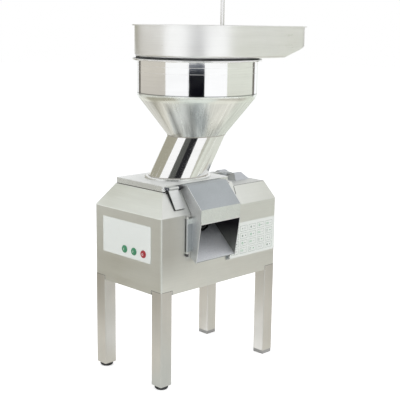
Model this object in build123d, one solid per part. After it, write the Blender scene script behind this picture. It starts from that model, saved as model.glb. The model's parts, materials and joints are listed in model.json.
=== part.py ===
from build123d import *
import math
import os

# Vegetable cutting machine: a folded stainless body on four square legs, a hinged lid that
# carries a leaning feed tube, a hopper and a loading tray, and a discharge chute.
# Working frame: x runs from the control face, y from the chute face, z up from the floor.

# Body shell
body_length = 630.0
body_depth = 385.0
body_bottom = 369.0
shoulder_height = 663.0
raised_top = 748.0
low_drop = 15.0
slope_inset = 57.0
end_inset = 29.0
step_x = 425.0
sheet = 2.0
bend_radius = 6.0
hem_width = 14.0
vent_count = 7
vent_pitch = 18.0
vent_length = 70.0
vent_width = 6.0

# Legs and feet
leg_width = 55.0
leg_wall = 2.5
leg_corner = 4.0
leg_notch = 16.0
foot_height = 15.5
round_foot_radius = 26.0
round_foot_edge = 9.0
cap_inset = 0.5
foot_plug = 25.0

# Chassis and deck inside the body
plate_gap = 0.3
chassis_thickness = 4.0
deck_bottom = 470.0
deck_thickness = 6.0
deck_inset = 62.0
deck_edge = 20.0
pillar_radius = 10.0
pillar_inset = 25.0

# Cutting chamber
chamber_x = 262.5
bowl_margin = 5.5
bowl_wall = 4.0
bowl_floor = 565.0
bowl_floor_thickness = 4.0
bowl_flange = 3.0
bowl_flange_height = 4.0
bowl_outlet_width = 176.0
bowl_outlet_drop = 13.0
top_opening_gap = 1.0

# Drive
shaft_radius = 12.5
shaft_bottom = 408.0
disc_drop = 10.0
housing_radius = 40.0
housing_flange_radius = 60.0
housing_flange_height = 10.0
bearing_radius = 26.0
bearing_height = 15.0
running_gap = 0.05
pulley_level = 415.0
pulley_height = 24.0
driven_pulley_radius = 88.0
belt_width = 16.0
belt_thickness = 6.0
groove_depth = 8.0
belt_gap = 0.3
motor_radius = 74.0
motor_headroom = 28.0
motor_shaft_radius = 9.5
motor_pulley_radius = 38.0
motor_fin_count = 24
motor_fin_height = 5.0
motor_flange_size = 165.0
motor_flange_height = 12.0

# Cutting and ejecting discs
disc_margin = 9.0
disc_thickness = 3.0
disc_hub_radius = 24.0
blade_count = 3
blade_width = 22.0
blade_thickness = 1.2
blade_lift = 2.5
ejector_lift = 10.0
ejector_thickness = 5.0
ejector_margin = 12.0
paddle_height = 24.0
paddle_count = 4

# Lid
lid_x0 = 57.0
lid_x1 = 408.0
lid_height = 24.0
lid_plate = 3.0
lid_skirt = 3.0
lid_gap = 0.6
lid_corner = 8.0

# Feed tube and hopper
tube_radius = 104.0
tube_wall = 1.5
tube_lean = 0.65
tube_foot_lift = 2.0
collar_height = 6.0
collar_width = 14.0
tube_rise = 156.0
cone_height = 155.0
barrel_height = 142.0
shoulder_bend = 18.0
hopper_radius = 236.0
hopper_wall = 1.5
flange_width = 17.0
flange_height = 4.5

# Loading tray
tray_gap = 9.0
tray_height = 121.0
tray_overhang = 10.0
tray_end = 755.0
tray_wall = 1.5
tray_corner = 60.0
tray_bottom_bend = 11.0
tray_rise_start = 604.0
tray_rise = 47.0
tray_lip = 9.0
tray_lip_height = 3.5
spigot_gap = 1.5
spigot_depth = 30.0
seat_ring_width = 5.0

# Stirring rod and its guide
rod_offset = 137.0
rod_radius = 8.0
rod_dip = 215.0
rod_reach = 190.0
rod_knob_radius = 19.0
guide_drop = 25.0
guide_length = 80.0
guide_radius = 13.0
guide_gap = 0.1
guide_arm_height = 25.0
guide_arm_thickness = 5.0
rod_collar_radius = 14.0
rod_collar_height = 10.0

# Lid hinge
hinge_reach = 145.0
hinge_lift = 12.0
hinge_rod_radius = 5.0
bracket_length = 80.0
bracket_depth = 66.0
bracket_top_length = 42.0
bracket_top_depth = 12.0
bracket_height = 25.5
bracket_spread = 43.0
bracket_bore_depth = 30.0
arm_thickness = 7.0
arm_side_gap = 1.0
arm_root_height = 14.0
arm_root_lift = 3.4
arm_eye_radius = 11.0

# Closing strap on the lid
strap_x0 = 78.0
strap_width = 48.0
strap_thickness = 2.5
strap_barrel_radius = 6.0
strap_pin_radius = 3.0
strap_reach = 7.5
strap_barrel_drop = 12.0
strap_end = 26.0
strap_end_lift = 4.0
strap_lug = 5.0
strap_side_gap = 0.5
strap_knob_radius = 7.0
strap_knob_length = 13.0
strap_pad_gap = 0.5

# Discharge chute
chute_x0 = 148.0
chute_x1 = 359.0
chute_sheet = 2.0
chute_wall_gap = 1.6
chute_back = 55.0
chute_crest_y = 23.0
chute_crest_drop = 4.0
chute_front = 54.0
chute_fold_z = 686.0
chute_lip_z = 631.0
chute_mouth_y = 30.0
chute_mouth_z = 483.0
chute_floor_slope = 0.93
throat_sheet = 1.5
chute_rod_x = 124.0
chute_rod_y = 6.5
chute_rod_radius = 3.0
chute_sleeve_radius = 4.5
chute_sleeve_bottom = 524.0
chute_sleeve_top = 650.0
chute_lug_height = 7.0
chute_lug_gap = 0.4
chute_cap_height = 11.0
catch_x = 350.0
catch_z = 463.0
catch_tab_width = 18.0
catch_knob_radius = 5.0
catch_knob_length = 6.0
catch_stem_radius = 3.0

# Controls
panel_y0 = 58.5
panel_end_gap = 48.0
panel_z0 = 486.0
panel_z1 = 626.0
panel_thickness = 1.0
button_z = 516.5
button_y = [99.0, 153.0, 207.0]
bezel_radius = 14.5
bezel_height = 3.0
cap_radius = 11.0
cap_gap = 0.3
cap_height = 5.5
button_stem_radius = 5.0
contact_size = 30.0
contact_depth = 42.0
label_x0 = 356.0
label_end_gap = 3.0
label_z0 = 452.0
label_z1 = 590.0
label_thickness = 0.8

# Electrical inlet
gland_x = 120.0
gland_z = 425.0
gland_radius = 12.0
gland_length = 24.0
electrical_box_size = (110.0, 190.0, 62.0)

# Derived sizes
centre_y = body_depth / 2
slope_rise = raised_top - shoulder_height
slope_ratio = slope_rise / slope_inset
end_ratio = slope_rise / end_inset
leg_top = body_bottom + leg_notch
chassis_top = leg_top + chassis_thickness
deck_top = deck_bottom + deck_thickness
lid_y0 = slope_inset
lid_y1 = body_depth - slope_inset
low_top = raised_top - low_drop
lid_top = raised_top + lid_height
collar_top = lid_top + collar_height
tube_bottom = raised_top + tube_foot_lift
neck_height = lid_top + tube_rise
hopper_shoulder = neck_height + cone_height
hopper_top = hopper_shoulder + barrel_height
tray_floor = hopper_top + tray_gap
tray_rim = tray_floor + tray_height
tray_radius = hopper_radius + tray_overhang
rod_bottom = hopper_top - rod_dip
rod_top = tray_rim + rod_reach
guide_top = hopper_top - guide_drop
guide_bottom = guide_top - guide_length
disc_level = raised_top - disc_drop
bowl_outlet_top = raised_top - bowl_outlet_drop
ejector_level = bowl_floor + ejector_lift
bowl_radius = (lid_y1 - lid_y0) / 2 - bowl_margin
disc_radius = bowl_radius - disc_margin
ejector_radius = bowl_radius - ejector_margin
motor_x = (chamber_x + bowl_radius + bowl_flange + body_length - sheet) / 2
motor_height = low_top - sheet - motor_headroom - motor_flange_height - deck_top
hinge_x = lid_x1 + hinge_reach
hinge_z = low_top + hinge_lift
strap_barrel_z = lid_top - strap_barrel_drop
chute_crest_z = lid_top - chute_crest_drop
panel_y1 = body_depth - panel_end_gap
label_x1 = body_length - label_end_gap
tool_reach = 2 * body_length
hopper_x = chamber_x + tube_lean * (neck_height - collar_top)
neck_long = tube_radius * math.hypot(1, tube_lean)
rod_x = hopper_x + rod_offset
bowl_bore = bowl_radius - bowl_wall
throat_x0 = chute_x0 + chute_sheet - throat_sheet
throat_x1 = chute_x1 - chute_sheet + throat_sheet
throat_drop = chute_sheet * math.hypot(1, chute_floor_slope)


def block(x0, x1, y0, y1, z0, z1):
    """Rectangular block between six planes."""
    size = Box(x1 - x0, y1 - y0, z1 - z0)
    return Pos((x0 + x1) / 2, (y0 + y1) / 2, (z0 + z1) / 2) * size


def disc(x, y, z0, z1, radius):
    """Upright cylinder between two heights."""
    return Pos(x, y, (z0 + z1) / 2) * Cylinder(radius, z1 - z0)


def ring(x, y, z0, z1, outer, inner):
    """Upright ring between two heights."""
    return disc(x, y, z0, z1, outer) - disc(x, y, z0 - 1, z1 + 1, inner)


def bar_x(x0, x1, y, z, radius):
    """Round bar along x."""
    return Pos((x0 + x1) / 2, y, z) * Rot(0, 90, 0) * Cylinder(radius, x1 - x0)


def bar_y(y0, y1, x, z, radius):
    """Round bar along y."""
    return Pos(x, (y0 + y1) / 2, z) * Rot(90, 0, 0) * Cylinder(radius, y1 - y0)


def prism_x(points, x0, x1):
    """Outline given as (y, z) points, drawn out along x."""
    outline = make_face(Polyline(*[(x0, y, z) for y, z in points], close=True))
    return extrude(outline, amount=x1 - x0, dir=(1, 0, 0))


def prism_y(points, y0, y1):
    """Outline given as (x, z) points, drawn out along y."""
    outline = make_face(Polyline(*[(x, y0, z) for x, z in points], close=True))
    return extrude(outline, amount=y1 - y0, dir=(0, 1, 0))


def folded(points, thickness):
    """Outline of a folded sheet whose inner face follows the points, mitred at each fold."""
    offset_points = []
    last = len(points) - 1
    for i, (u, v) in enumerate(points):
        normals = []
        for a, b in ((i - 1, i), (i, i + 1)):
            if a >= 0 and b <= last:
                du = points[b][0] - points[a][0]
                dv = points[b][1] - points[a][1]
                run = math.hypot(du, dv)
                normals.append((dv / run, -du / run))
        nu = sum(n[0] for n in normals)
        nv = sum(n[1] for n in normals)
        scale = thickness * len(normals) / (nu * nu + nv * nv)
        offset_points.append((u + nu * scale, v + nv * scale))
    return points + offset_points[::-1]


def body_block(inset, bottom):
    """Body volume: straight walls, sloped shoulders and a stepped top, inset by a wall."""
    lean = inset * math.hypot(1, slope_ratio)
    end_lean = inset * math.hypot(1, end_ratio)
    fold = shoulder_height + slope_ratio * inset - lean
    top = raised_top - inset
    side = (top - shoulder_height + lean) / slope_ratio
    end = (top - shoulder_height + end_lean) / end_ratio
    walls = block(inset, body_length - inset, inset, body_depth - inset, bottom, fold)
    low_x, high_x = side, body_length - end
    base = Pos(body_length / 2, centre_y, fold) * Rectangle(
        body_length - 2 * inset, body_depth - 2 * inset
    )
    cover = Pos((low_x + high_x) / 2, centre_y, top) * Rectangle(
        high_x - low_x, body_depth - 2 * side
    )
    hood = loft([base.face(), cover.face()])
    solid = walls + hood
    radius = max(bend_radius - inset, 1.0)
    shoulders = solid.edges().filter_by_position(Axis.Z, fold - 0.1, fold + 0.1)
    corners = solid.edges().filter_by(Axis.Z)
    solid = fillet(shoulders + corners, radius)
    step = block(
        step_x - inset, body_length, 0, body_depth, low_top - inset, raised_top + 1
    )
    return solid - step


def slope_point(s, lift):
    """Point on the chute-side slope: s up the slope from the shoulder, lift off its face."""
    run = math.hypot(1, slope_ratio)
    up_y, up_z = 1 / run, slope_ratio / run
    return (s * up_y - lift * up_z, shoulder_height + s * up_z + lift * up_y)


def make_body_shell():
    """Folded cover: hem, leg notches, chamber opening, discharge opening, button holes."""
    shell = body_block(0, body_bottom) - body_block(sheet, body_bottom + sheet)
    shell -= block(
        hem_width, body_length - hem_width, hem_width, body_depth - hem_width,
        body_bottom - 1, body_bottom + sheet + 1,
    )
    for x in (0, body_length - leg_width):
        for y in (0, body_depth - leg_width):
            shell -= block(
                x - plate_gap, x + leg_width + plate_gap, y - plate_gap,
                y + leg_width + plate_gap, body_bottom - 1, leg_top,
            )
    shell -= disc(chamber_x, centre_y, raised_top - 10, raised_top + 1, bowl_radius + top_opening_gap)
    shell -= block(
        throat_x0 - plate_gap, throat_x1 + plate_gap, -1, slope_inset - 3,
        chute_floor(0) - throat_drop - plate_gap, raised_top - 12,
    )
    for y in button_y:
        shell -= bar_x(-1, sheet + 1, y, button_z, cap_radius + cap_gap)
    shell -= bar_y(body_depth - sheet - 1, body_depth + 1, gland_x, gland_z, gland_radius * 0.75)
    first = motor_x - vent_pitch * (vent_count - 1) / 2
    for i in range(vent_count):
        x = first + i * vent_pitch
        z = (body_bottom + shoulder_height) / 2
        shell -= block(
            x - vent_width / 2, x + vent_width / 2, body_depth - sheet - 1, body_depth + 1,
            z - vent_length / 2, z + vent_length / 2,
        )
    return shell


def chute_floor(y):
    """Height of the upper face of the chute floor at depth y."""
    return chute_mouth_z + chute_floor_slope * (y + chute_mouth_y)


def make_leg(x, y):
    """Square tube, open at both ends."""
    outer = Pos(x, y, foot_height) * RectangleRounded(leg_width, leg_width, leg_corner)
    bore = leg_width - 2 * leg_wall
    inner = Pos(x, y, foot_height) * RectangleRounded(bore, bore, leg_corner - leg_wall)
    return extrude(outer - inner, leg_top - foot_height)


def make_plug(x, y):
    """Square plug pushed into the open end of a leg."""
    side = leg_width - 2 * leg_wall
    section = Pos(x, y, foot_height) * RectangleRounded(side, side, leg_corner - leg_wall)
    return extrude(section, foot_plug)


def make_round_foot(x, y):
    """Rubber pad with its plug."""
    pad = disc(x, y, 0, foot_height, round_foot_radius)
    pad = fillet(pad.edges().group_by(Axis.Z)[0], round_foot_edge)
    return pad + make_plug(x, y)


def make_cap_foot(x, y):
    """Square end cap with its plug."""
    half = leg_width / 2 - cap_inset
    cap = block(x - half, x + half, y - half, y + half, 0, foot_height)
    cap = fillet(cap.edges().filter_by(Axis.Z), leg_corner)
    cap = chamfer(cap.edges().group_by(Axis.Z)[0], 1.5)
    return cap + make_plug(x, y)


def make_chassis_plate():
    """Bottom plate that rests on the legs."""
    edge = sheet + plate_gap
    plate = block(edge, body_length - edge, edge, body_depth - edge, leg_top, chassis_top)
    plate = fillet(plate.edges().filter_by(Axis.Z), bend_radius)
    first = motor_x - vent_pitch * (vent_count - 1) / 2
    for i in range(vent_count):
        x = first + i * vent_pitch
        plate -= block(
            x - vent_width / 2, x + vent_width / 2, centre_y - vent_length, centre_y + vent_length,
            leg_top - 1, chassis_top + 1,
        )
    return plate


def deck_x1():
    """End of the deck, just short of the end wall."""
    return body_length - deck_edge * 2


def pillar_places():
    """Where the deck pillars stand."""
    x0 = deck_inset + pillar_inset
    x1 = deck_x1() - pillar_inset
    y0 = deck_edge + pillar_radius + plate_gap
    return [(x, y) for x in (x0, x1) for y in (y0, body_depth - y0)]


def make_deck_plate():
    """Machine deck with openings for the shaft housing and the motor shaft."""
    deck = block(
        deck_inset, deck_x1(), deck_edge, body_depth - deck_edge, deck_bottom, deck_top
    )
    deck -= disc(chamber_x, centre_y, deck_bottom - 1, deck_top + 1, housing_radius + plate_gap)
    deck -= disc(motor_x, centre_y, deck_bottom - 1, deck_top + 1, motor_shaft_radius + 10)
    return deck


def make_pillars():
    """Four turned pillars between the chassis plate and the deck."""
    posts = [disc(x, y, chassis_top, deck_bottom, pillar_radius) for x, y in pillar_places()]
    return Part() + posts


def make_bowl():
    """Cast chamber bowl with a turned flange, a shaft hole and the discharge outlet."""
    top = raised_top - sheet
    bowl = disc(chamber_x, centre_y, bowl_floor, top, bowl_radius)
    bowl = fillet(bowl.edges().group_by(Axis.Z)[0], 12)
    bowl += disc(chamber_x, centre_y, top - bowl_flange_height, top, bowl_radius + bowl_flange)
    bore = disc(chamber_x, centre_y, bowl_floor + bowl_floor_thickness, top + 1, bowl_bore)
    bore = fillet(bore.edges().group_by(Axis.Z)[0], 9)
    bowl -= bore
    bowl -= disc(chamber_x, centre_y, bowl_floor - 1, top, shaft_radius + 3)
    half = bowl_outlet_width / 2
    outlet_floor = bowl_floor + bowl_floor_thickness
    bowl -= block(
        chamber_x - half, chamber_x + half, 0, centre_y - bowl_radius / 3, outlet_floor,
        bowl_outlet_top,
    )
    return bowl


def make_throat():
    """Fixed inner duct from the bowl outlet down to the chute face."""
    y0 = plate_gap
    y1 = centre_y - bowl_radius / 2
    floor_line = [(y0, chute_floor(y0)), (y1, chute_floor(y1))]
    floor = prism_x(
        floor_line + [(y1, chute_floor(y1) - throat_drop), (y0, chute_floor(y0) - throat_drop)],
        throat_x0, throat_x1,
    )
    length = math.hypot(slope_inset, slope_rise)
    low = slope_point(0, -plate_gap)
    edge = slope_point(length - 18, -plate_gap)
    high = slope_point(length - 12, -sheet - plate_gap)
    eave = low[1] - (low[0] - y0) * slope_ratio
    wall_line = [
        (y0, chute_floor(y0)), (y0, eave), edge, high, (y1, high[1]), (y1, chute_floor(y1)),
    ]
    left = prism_x(wall_line, throat_x0, throat_x0 + throat_sheet)
    right = prism_x(wall_line, throat_x1 - throat_sheet, throat_x1)
    duct = floor + left + right
    duct -= disc(chamber_x, centre_y, 0, raised_top, bowl_radius + plate_gap)
    return duct


def make_bearing_housing():
    """Turned housing bolted to the deck; the bowl sits on its upper flange."""
    flange_top = deck_top + housing_flange_height
    profile = [
        (bearing_radius, deck_top), (housing_flange_radius, deck_top),
        (housing_flange_radius, flange_top), (housing_radius, flange_top),
        (housing_radius, bowl_floor - housing_flange_height),
        (housing_flange_radius, bowl_floor - housing_flange_height),
        (housing_flange_radius, bowl_floor), (bearing_radius, bowl_floor),
    ]
    face = make_face(Polyline(*[(r, 0, z) for r, z in profile], close=True))
    turned = revolve(face, Axis.Z, 360)
    return Pos(chamber_x, centre_y, 0) * turned


def bearing_levels():
    """Lower faces of the two bearings."""
    return [deck_top + 4, bowl_floor - 4 - bearing_height]


def make_bearings():
    """Two ball bearings, each drawn as its closed ring."""
    bore = shaft_radius + running_gap
    rings = [
        ring(chamber_x, centre_y, z, z + bearing_height, bearing_radius, bore)
        for z in bearing_levels()
    ]
    return Part() + rings


def make_drive_shaft():
    """Stepped main shaft with a square driver at the disc."""
    shaft = disc(chamber_x, centre_y, shaft_bottom, disc_level, shaft_radius)
    driver = Pos(chamber_x, centre_y, disc_level) * Rectangle(14, 14)
    return shaft + extrude(driver, disc_thickness + 5)


def make_pulley(x, outer, bore):
    """Pulley with a flat-bottomed groove for the belt."""
    z1 = pulley_level + pulley_height
    edge = (pulley_height - belt_width) / 2 - 1
    groove = outer - groove_depth
    profile = [
        (bore, pulley_level), (outer, pulley_level), (outer, pulley_level + edge),
        (groove, pulley_level + edge + 0.6), (groove, z1 - edge - 0.6), (outer, z1 - edge),
        (outer, z1), (bore, z1),
    ]
    face = make_face(Polyline(*[(r, 0, z) for r, z in profile], close=True))
    return Pos(x, centre_y, 0) * revolve(face, Axis.Z, 360)


def make_driven_pulley():
    """Large pulley, lightened by six round holes."""
    pulley = make_pulley(chamber_x, driven_pulley_radius, shaft_radius)
    reach = (driven_pulley_radius - groove_depth + shaft_radius) / 2
    for i in range(6):
        angle = math.radians(60 * i)
        x = chamber_x + reach * math.cos(angle)
        y = centre_y + reach * math.sin(angle)
        pulley -= disc(x, y, pulley_level - 1, pulley_level + pulley_height + 1, 14)
    return pulley


def belt_outline(grow):
    """Closed belt line around both pulleys, grown by an offset."""
    big = driven_pulley_radius - groove_depth + belt_gap + grow
    small = motor_pulley_radius - groove_depth + belt_gap + grow
    span = motor_x - chamber_x
    tilt = math.acos((big - small) / span)
    points = []
    for x, radius in ((chamber_x, big), (motor_x, small)):
        for sign in (1, -1):
            dx = radius * math.cos(tilt)
            dy = radius * math.sin(tilt)
            points.append((x + dx, centre_y + sign * dy))
    upper_big, lower_big, upper_small, lower_small = points
    run = Line(upper_big, upper_small)
    nose = ThreePointArc(upper_small, (motor_x + small, centre_y), lower_small)
    back = Line(lower_small, lower_big)
    heel = ThreePointArc(lower_big, (chamber_x - big, centre_y), upper_big)
    return make_face(Wire([run, nose, back, heel]))


def make_belt():
    """Flat belt in both grooves."""
    section = belt_outline(belt_thickness) - belt_outline(0)
    level = pulley_level + (pulley_height - belt_width) / 2
    return Pos(0, 0, level) * extrude(section, belt_width)


def make_motor():
    """Flanged motor with cooling fins and a domed end."""
    base = deck_top + motor_flange_height
    half = motor_flange_size / 2
    flange = block(motor_x - half, motor_x + half, centre_y - half, centre_y + half, deck_top, base)
    flange = fillet(flange.edges().filter_by(Axis.Z), 14)
    top = base + motor_height
    body = disc(motor_x, centre_y, base, top, motor_radius - motor_fin_height)
    body = fillet(body.edges().group_by(Axis.Z)[-1], 12)
    fins = []
    for i in range(motor_fin_count):
        fin = block(
            motor_radius - motor_fin_height - 2, motor_radius, -1.2, 1.2, base + 15, top - 30
        )
        fins.append(Pos(motor_x, centre_y, 0) * Rot(0, 0, 360 / motor_fin_count * i) * fin)
    motor = flange + body + fins
    return motor - disc(motor_x, centre_y, deck_top - 1, base + 60, motor_shaft_radius + running_gap)


def make_motor_shaft():
    """Motor shaft that carries the small pulley."""
    return disc(motor_x, centre_y, pulley_level - 2, deck_top + motor_flange_height + 55, motor_shaft_radius)


def make_slicing_disc():
    """Slicing plate with a hub and one slot in front of each blade."""
    plate = disc(chamber_x, centre_y, disc_level, disc_level + disc_thickness, disc_radius)
    hub_top = disc_level + disc_thickness + 3
    plate += disc(chamber_x, centre_y, disc_level, hub_top, disc_hub_radius)
    driver = Pos(chamber_x, centre_y, disc_level - 1) * Rectangle(14, 14)
    plate -= extrude(driver, disc_thickness + 10)
    for i in range(blade_count):
        turn = Pos(chamber_x, centre_y, 0) * Rot(0, 0, 360 / blade_count * i)
        slot = block(
            disc_hub_radius + 6, disc_radius - 8, -blade_width / 2 - 8, -blade_width / 2 + 4,
            disc_level - 1, disc_level + disc_thickness + 1,
        )
        plate -= turn * fillet(slot.edges().filter_by(Axis.Z), 4)
    return plate


def make_blades():
    """Blades raised over the slots, each ground to an edge."""
    low = disc_level + disc_thickness
    blades = []
    for i in range(blade_count):
        turn = Pos(chamber_x, centre_y, 0) * Rot(0, 0, 360 / blade_count * i)
        section = [
            (-blade_width / 2, low + blade_lift), (-blade_width / 2 + 6, low + blade_lift - 1.0),
            (blade_width / 2 - 6, low), (blade_width / 2, low), (blade_width / 2, low + blade_thickness),
            (blade_width / 2 - 6, low + blade_thickness), (-blade_width / 2 + 6, low + blade_lift + 0.3),
        ]
        blades.append(turn * prism_x(section, disc_hub_radius + 8, disc_radius - 10))
    return Part() + blades


def make_ejector():
    """Ejector disc with curved-back paddles that sweep the cut pieces out."""
    top = ejector_level + ejector_thickness
    plate = disc(chamber_x, centre_y, ejector_level, top, ejector_radius)
    plate = fillet(plate.edges().group_by(Axis.Z)[-1], 1.5)
    plate += disc(chamber_x, centre_y, ejector_level, disc_level, disc_hub_radius - 4)
    for i in range(paddle_count):
        turn = Pos(chamber_x, centre_y, 0) * Rot(0, 0, 360 / paddle_count * i)
        paddle = block(disc_hub_radius - 6, ejector_radius - 4, -3, 3, top, top + paddle_height)
        lean = Pos(disc_hub_radius, 0, 0) * Rot(0, 0, -14) * Pos(-disc_hub_radius, 0, 0)
        plate += turn * lean * paddle
    keep = disc(chamber_x, centre_y, ejector_level - 1, disc_level + 1, ejector_radius)
    plate &= keep
    return plate - disc(chamber_x, centre_y, ejector_level - 1, disc_level + 1, shaft_radius)


def tube_axis_plane():
    """Plane across the feed tube at the lid."""
    return Plane(
        origin=(chamber_x, centre_y, collar_top), x_dir=(0, 1, 0), z_dir=(tube_lean, 0, 1)
    )


def tube_volume(radius, z0, z1):
    """Leaning round bar cut level at two heights."""
    section = tube_axis_plane() * Circle(radius)
    bar = extrude(section, amount=tool_reach, both=True)
    return bar & block(
        chamber_x - tool_reach, chamber_x + tool_reach,
        centre_y - tool_reach, centre_y + tool_reach, z0, z1,
    )


def make_lid():
    """Pressed lid: flat plate, turned-down skirt, tube hole."""
    z0 = raised_top + lid_gap
    outer = block(lid_x0, lid_x1, lid_y0, lid_y1, z0, lid_top)
    outer = fillet(outer.edges().filter_by(Axis.Z), lid_corner)
    outer = fillet(outer.edges().group_by(Axis.Z)[-1], 2.5)
    t = lid_skirt
    inner = block(lid_x0 + t, lid_x1 - t, lid_y0 + t, lid_y1 - t, z0 - 1, lid_top - lid_plate)
    inner = fillet(inner.edges().filter_by(Axis.Z), lid_corner - t)
    lid = outer - inner
    return lid - tube_volume(tube_radius, tube_bottom - 5, lid_top + 5)


def make_collar():
    """Weld ring round the foot of the tube."""
    lip = tube_volume(tube_radius + collar_width, lid_top, collar_top)
    lip = chamfer(lip.edges().group_by(Axis.Z)[-1], 2.5)
    return lip - tube_volume(tube_radius, lid_top - 5, collar_top + 5)


def make_feed_tube():
    """Thin leaning tube, cut level at the chamber and at the hopper neck."""
    shell = tube_volume(tube_radius, tube_bottom, neck_height)
    return shell - tube_volume(tube_radius - tube_wall, tube_bottom - 5, neck_height + 5)


def make_hopper():
    """Cone blended from the tube's oval to a round barrel with a rolled flange."""
    oval = Pos(hopper_x, centre_y, neck_height) * Ellipse(neck_long, tube_radius)
    wide = Pos(hopper_x, centre_y, hopper_shoulder) * Circle(hopper_radius)
    cone = loft([oval.face(), wide.face()])
    thin = hopper_wall
    bore_oval = Pos(hopper_x, centre_y, neck_height) * Ellipse(neck_long - thin, tube_radius - thin)
    bore_wide = Pos(hopper_x, centre_y, hopper_shoulder) * Circle(hopper_radius - thin)
    outer = cone + disc(hopper_x, centre_y, hopper_shoulder, hopper_top, hopper_radius)
    outer = bend_shoulder(outer, hopper_radius, shoulder_bend)
    inner = loft([bore_oval.face(), bore_wide.face()])
    inner += disc(hopper_x, centre_y, hopper_shoulder, hopper_top + 1, hopper_radius - thin)
    inner = bend_shoulder(inner, hopper_radius - thin, shoulder_bend - thin)
    shell = outer - inner
    edge = hopper_radius + flange_width
    flange = ring(hopper_x, centre_y, hopper_top - flange_height, hopper_top, edge, hopper_radius - thin)
    flange = fillet(flange.edges().filter_by(GeomType.CIRCLE).group_by(SortBy.RADIUS)[-1], 1.9)
    return shell + flange


def bend_shoulder(solid, radius, bend):
    """Round the fold between the cone and the barrel."""
    fold = solid.edges().filter_by(GeomType.CIRCLE).filter_by_position(
        Axis.Z, hopper_shoulder - 0.1, hopper_shoulder + 0.1
    )
    return fillet(fold, bend)


def make_seat_ring():
    """Soft ring between the hopper flange and the tray floor."""
    return ring(
        hopper_x, centre_y, hopper_top, tray_floor - plate_gap,
        hopper_radius + seat_ring_width, hopper_radius,
    )


def tray_outline(grow):
    """Plan of the tray: round over the hopper, straight sides, rounded end corners."""
    radius = tray_radius + grow
    end = tray_end + grow
    corner = tray_corner + grow
    round_part = Pos(hopper_x, centre_y) * Circle(radius)
    length = end - hopper_x
    run = Pos(hopper_x + length / 2, centre_y) * Rectangle(length, 2 * radius)
    run = fillet(run.vertices().group_by(Axis.X)[-1], corner)
    return (round_part + run).face()


def tray_volume(inset, z0, z1):
    """Tray volume with the rising floor at its far end."""
    body = Pos(0, 0, z0) * extrude(tray_outline(-inset), z1 - z0)
    far = tray_end + tray_corner
    slope = tray_rise / (tray_end - tray_rise_start)
    lift = (far - tray_rise_start) * slope
    wedge = prism_y(
        [(tray_rise_start, z0), (far, z0 + lift), (far, z0 - 1), (tray_rise_start, z0 - 1)],
        centre_y - tool_reach, centre_y + tool_reach,
    )
    return body - wedge


def make_tray():
    """Loading tray: thin shell, rolled lip, round outlet with a spigot into the hopper."""
    outer = tray_volume(0, tray_floor, tray_rim)
    bottom = outer.edges().filter_by_position(Axis.Z, tray_floor - 0.1, tray_floor + tray_rise + 5)
    outer = fillet(bottom - bottom.filter_by(Axis.Y), tray_bottom_bend)
    inner = tray_volume(tray_wall, tray_floor + tray_wall, tray_rim + 1)
    low = inner.edges().filter_by_position(Axis.Z, tray_floor - 0.1, tray_floor + tray_rise + 8)
    inner = fillet(low - low.filter_by(Axis.Y), tray_bottom_bend - tray_wall)
    tray = outer - inner
    lip = extrude(tray_outline(tray_lip) - tray_outline(-tray_wall), tray_lip_height)
    tray += Pos(0, 0, tray_rim - tray_lip_height) * lip
    outlet = hopper_radius - hopper_wall - spigot_gap
    tray += disc(hopper_x, centre_y, tray_floor - spigot_depth, tray_floor + tray_wall, outlet)
    return tray - disc(
        hopper_x, centre_y, tray_floor - spigot_depth - 1, tray_rim - 20, outlet - tray_wall
    )


def make_rod():
    """Stirring rod with a rest collar."""
    rod = disc(rod_x, centre_y, rod_bottom, rod_top, rod_radius)
    rod = fillet(rod.edges().group_by(Axis.Z)[0], 4)
    low = guide_top + plate_gap
    return rod + disc(rod_x, centre_y, low, low + rod_collar_height, rod_collar_radius)


def make_rod_knob():
    """Ball grip on the rod."""
    ball = Pos(rod_x, centre_y, rod_top + rod_knob_radius - 4) * Sphere(rod_knob_radius)
    return ball - disc(rod_x, centre_y, rod_top - 20, rod_top, rod_radius)


def make_rod_guide():
    """Guide tube held off the hopper wall by two flat arms."""
    bore = rod_radius + guide_gap
    guide = disc(rod_x, centre_y, guide_bottom, guide_top, guide_radius)
    wall_x = hopper_x + hopper_radius - hopper_wall
    half = guide_arm_thickness / 2
    for z in (guide_bottom + 5, guide_top - 5 - guide_arm_height):
        guide += block(rod_x, wall_x + 5, centre_y - half, centre_y + half, z, z + guide_arm_height)
    inside = disc(hopper_x, centre_y, guide_bottom - 10, guide_top + 10, hopper_radius - hopper_wall)
    guide &= inside
    return guide - disc(rod_x, centre_y, guide_bottom - 1, guide_top + 1, bore)


def bracket_centres():
    """Middle of the front and the rear hinge block."""
    return [centre_y - bracket_spread, centre_y + bracket_spread]


def make_bracket(middle_y, inward):
    """Cast hinge block with four sloped sides and a blind bore on its inner side."""
    base = Pos(hinge_x, middle_y, low_top) * Rectangle(bracket_length, bracket_depth)
    cover = Pos(hinge_x, middle_y, low_top + bracket_height) * Rectangle(
        bracket_top_length, bracket_top_depth
    )
    solid = loft([base.face(), cover.face()])
    solid = fillet(solid.edges().group_by(Axis.Z)[-1], 1.5)
    far = middle_y + inward * bracket_depth
    blind = middle_y - inward * (bracket_bore_depth - bracket_depth / 2)
    return solid - bar_y(min(far, blind), max(far, blind), hinge_x, hinge_z, hinge_rod_radius)


def arm_places():
    """Near faces of the two lid arms, side by side between the hinge blocks."""
    gap = 2 * bracket_spread - bracket_depth
    front = centre_y - gap / 2 + arm_side_gap
    rear = centre_y + gap / 2 - arm_side_gap - arm_thickness
    return [front, rear]


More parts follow.
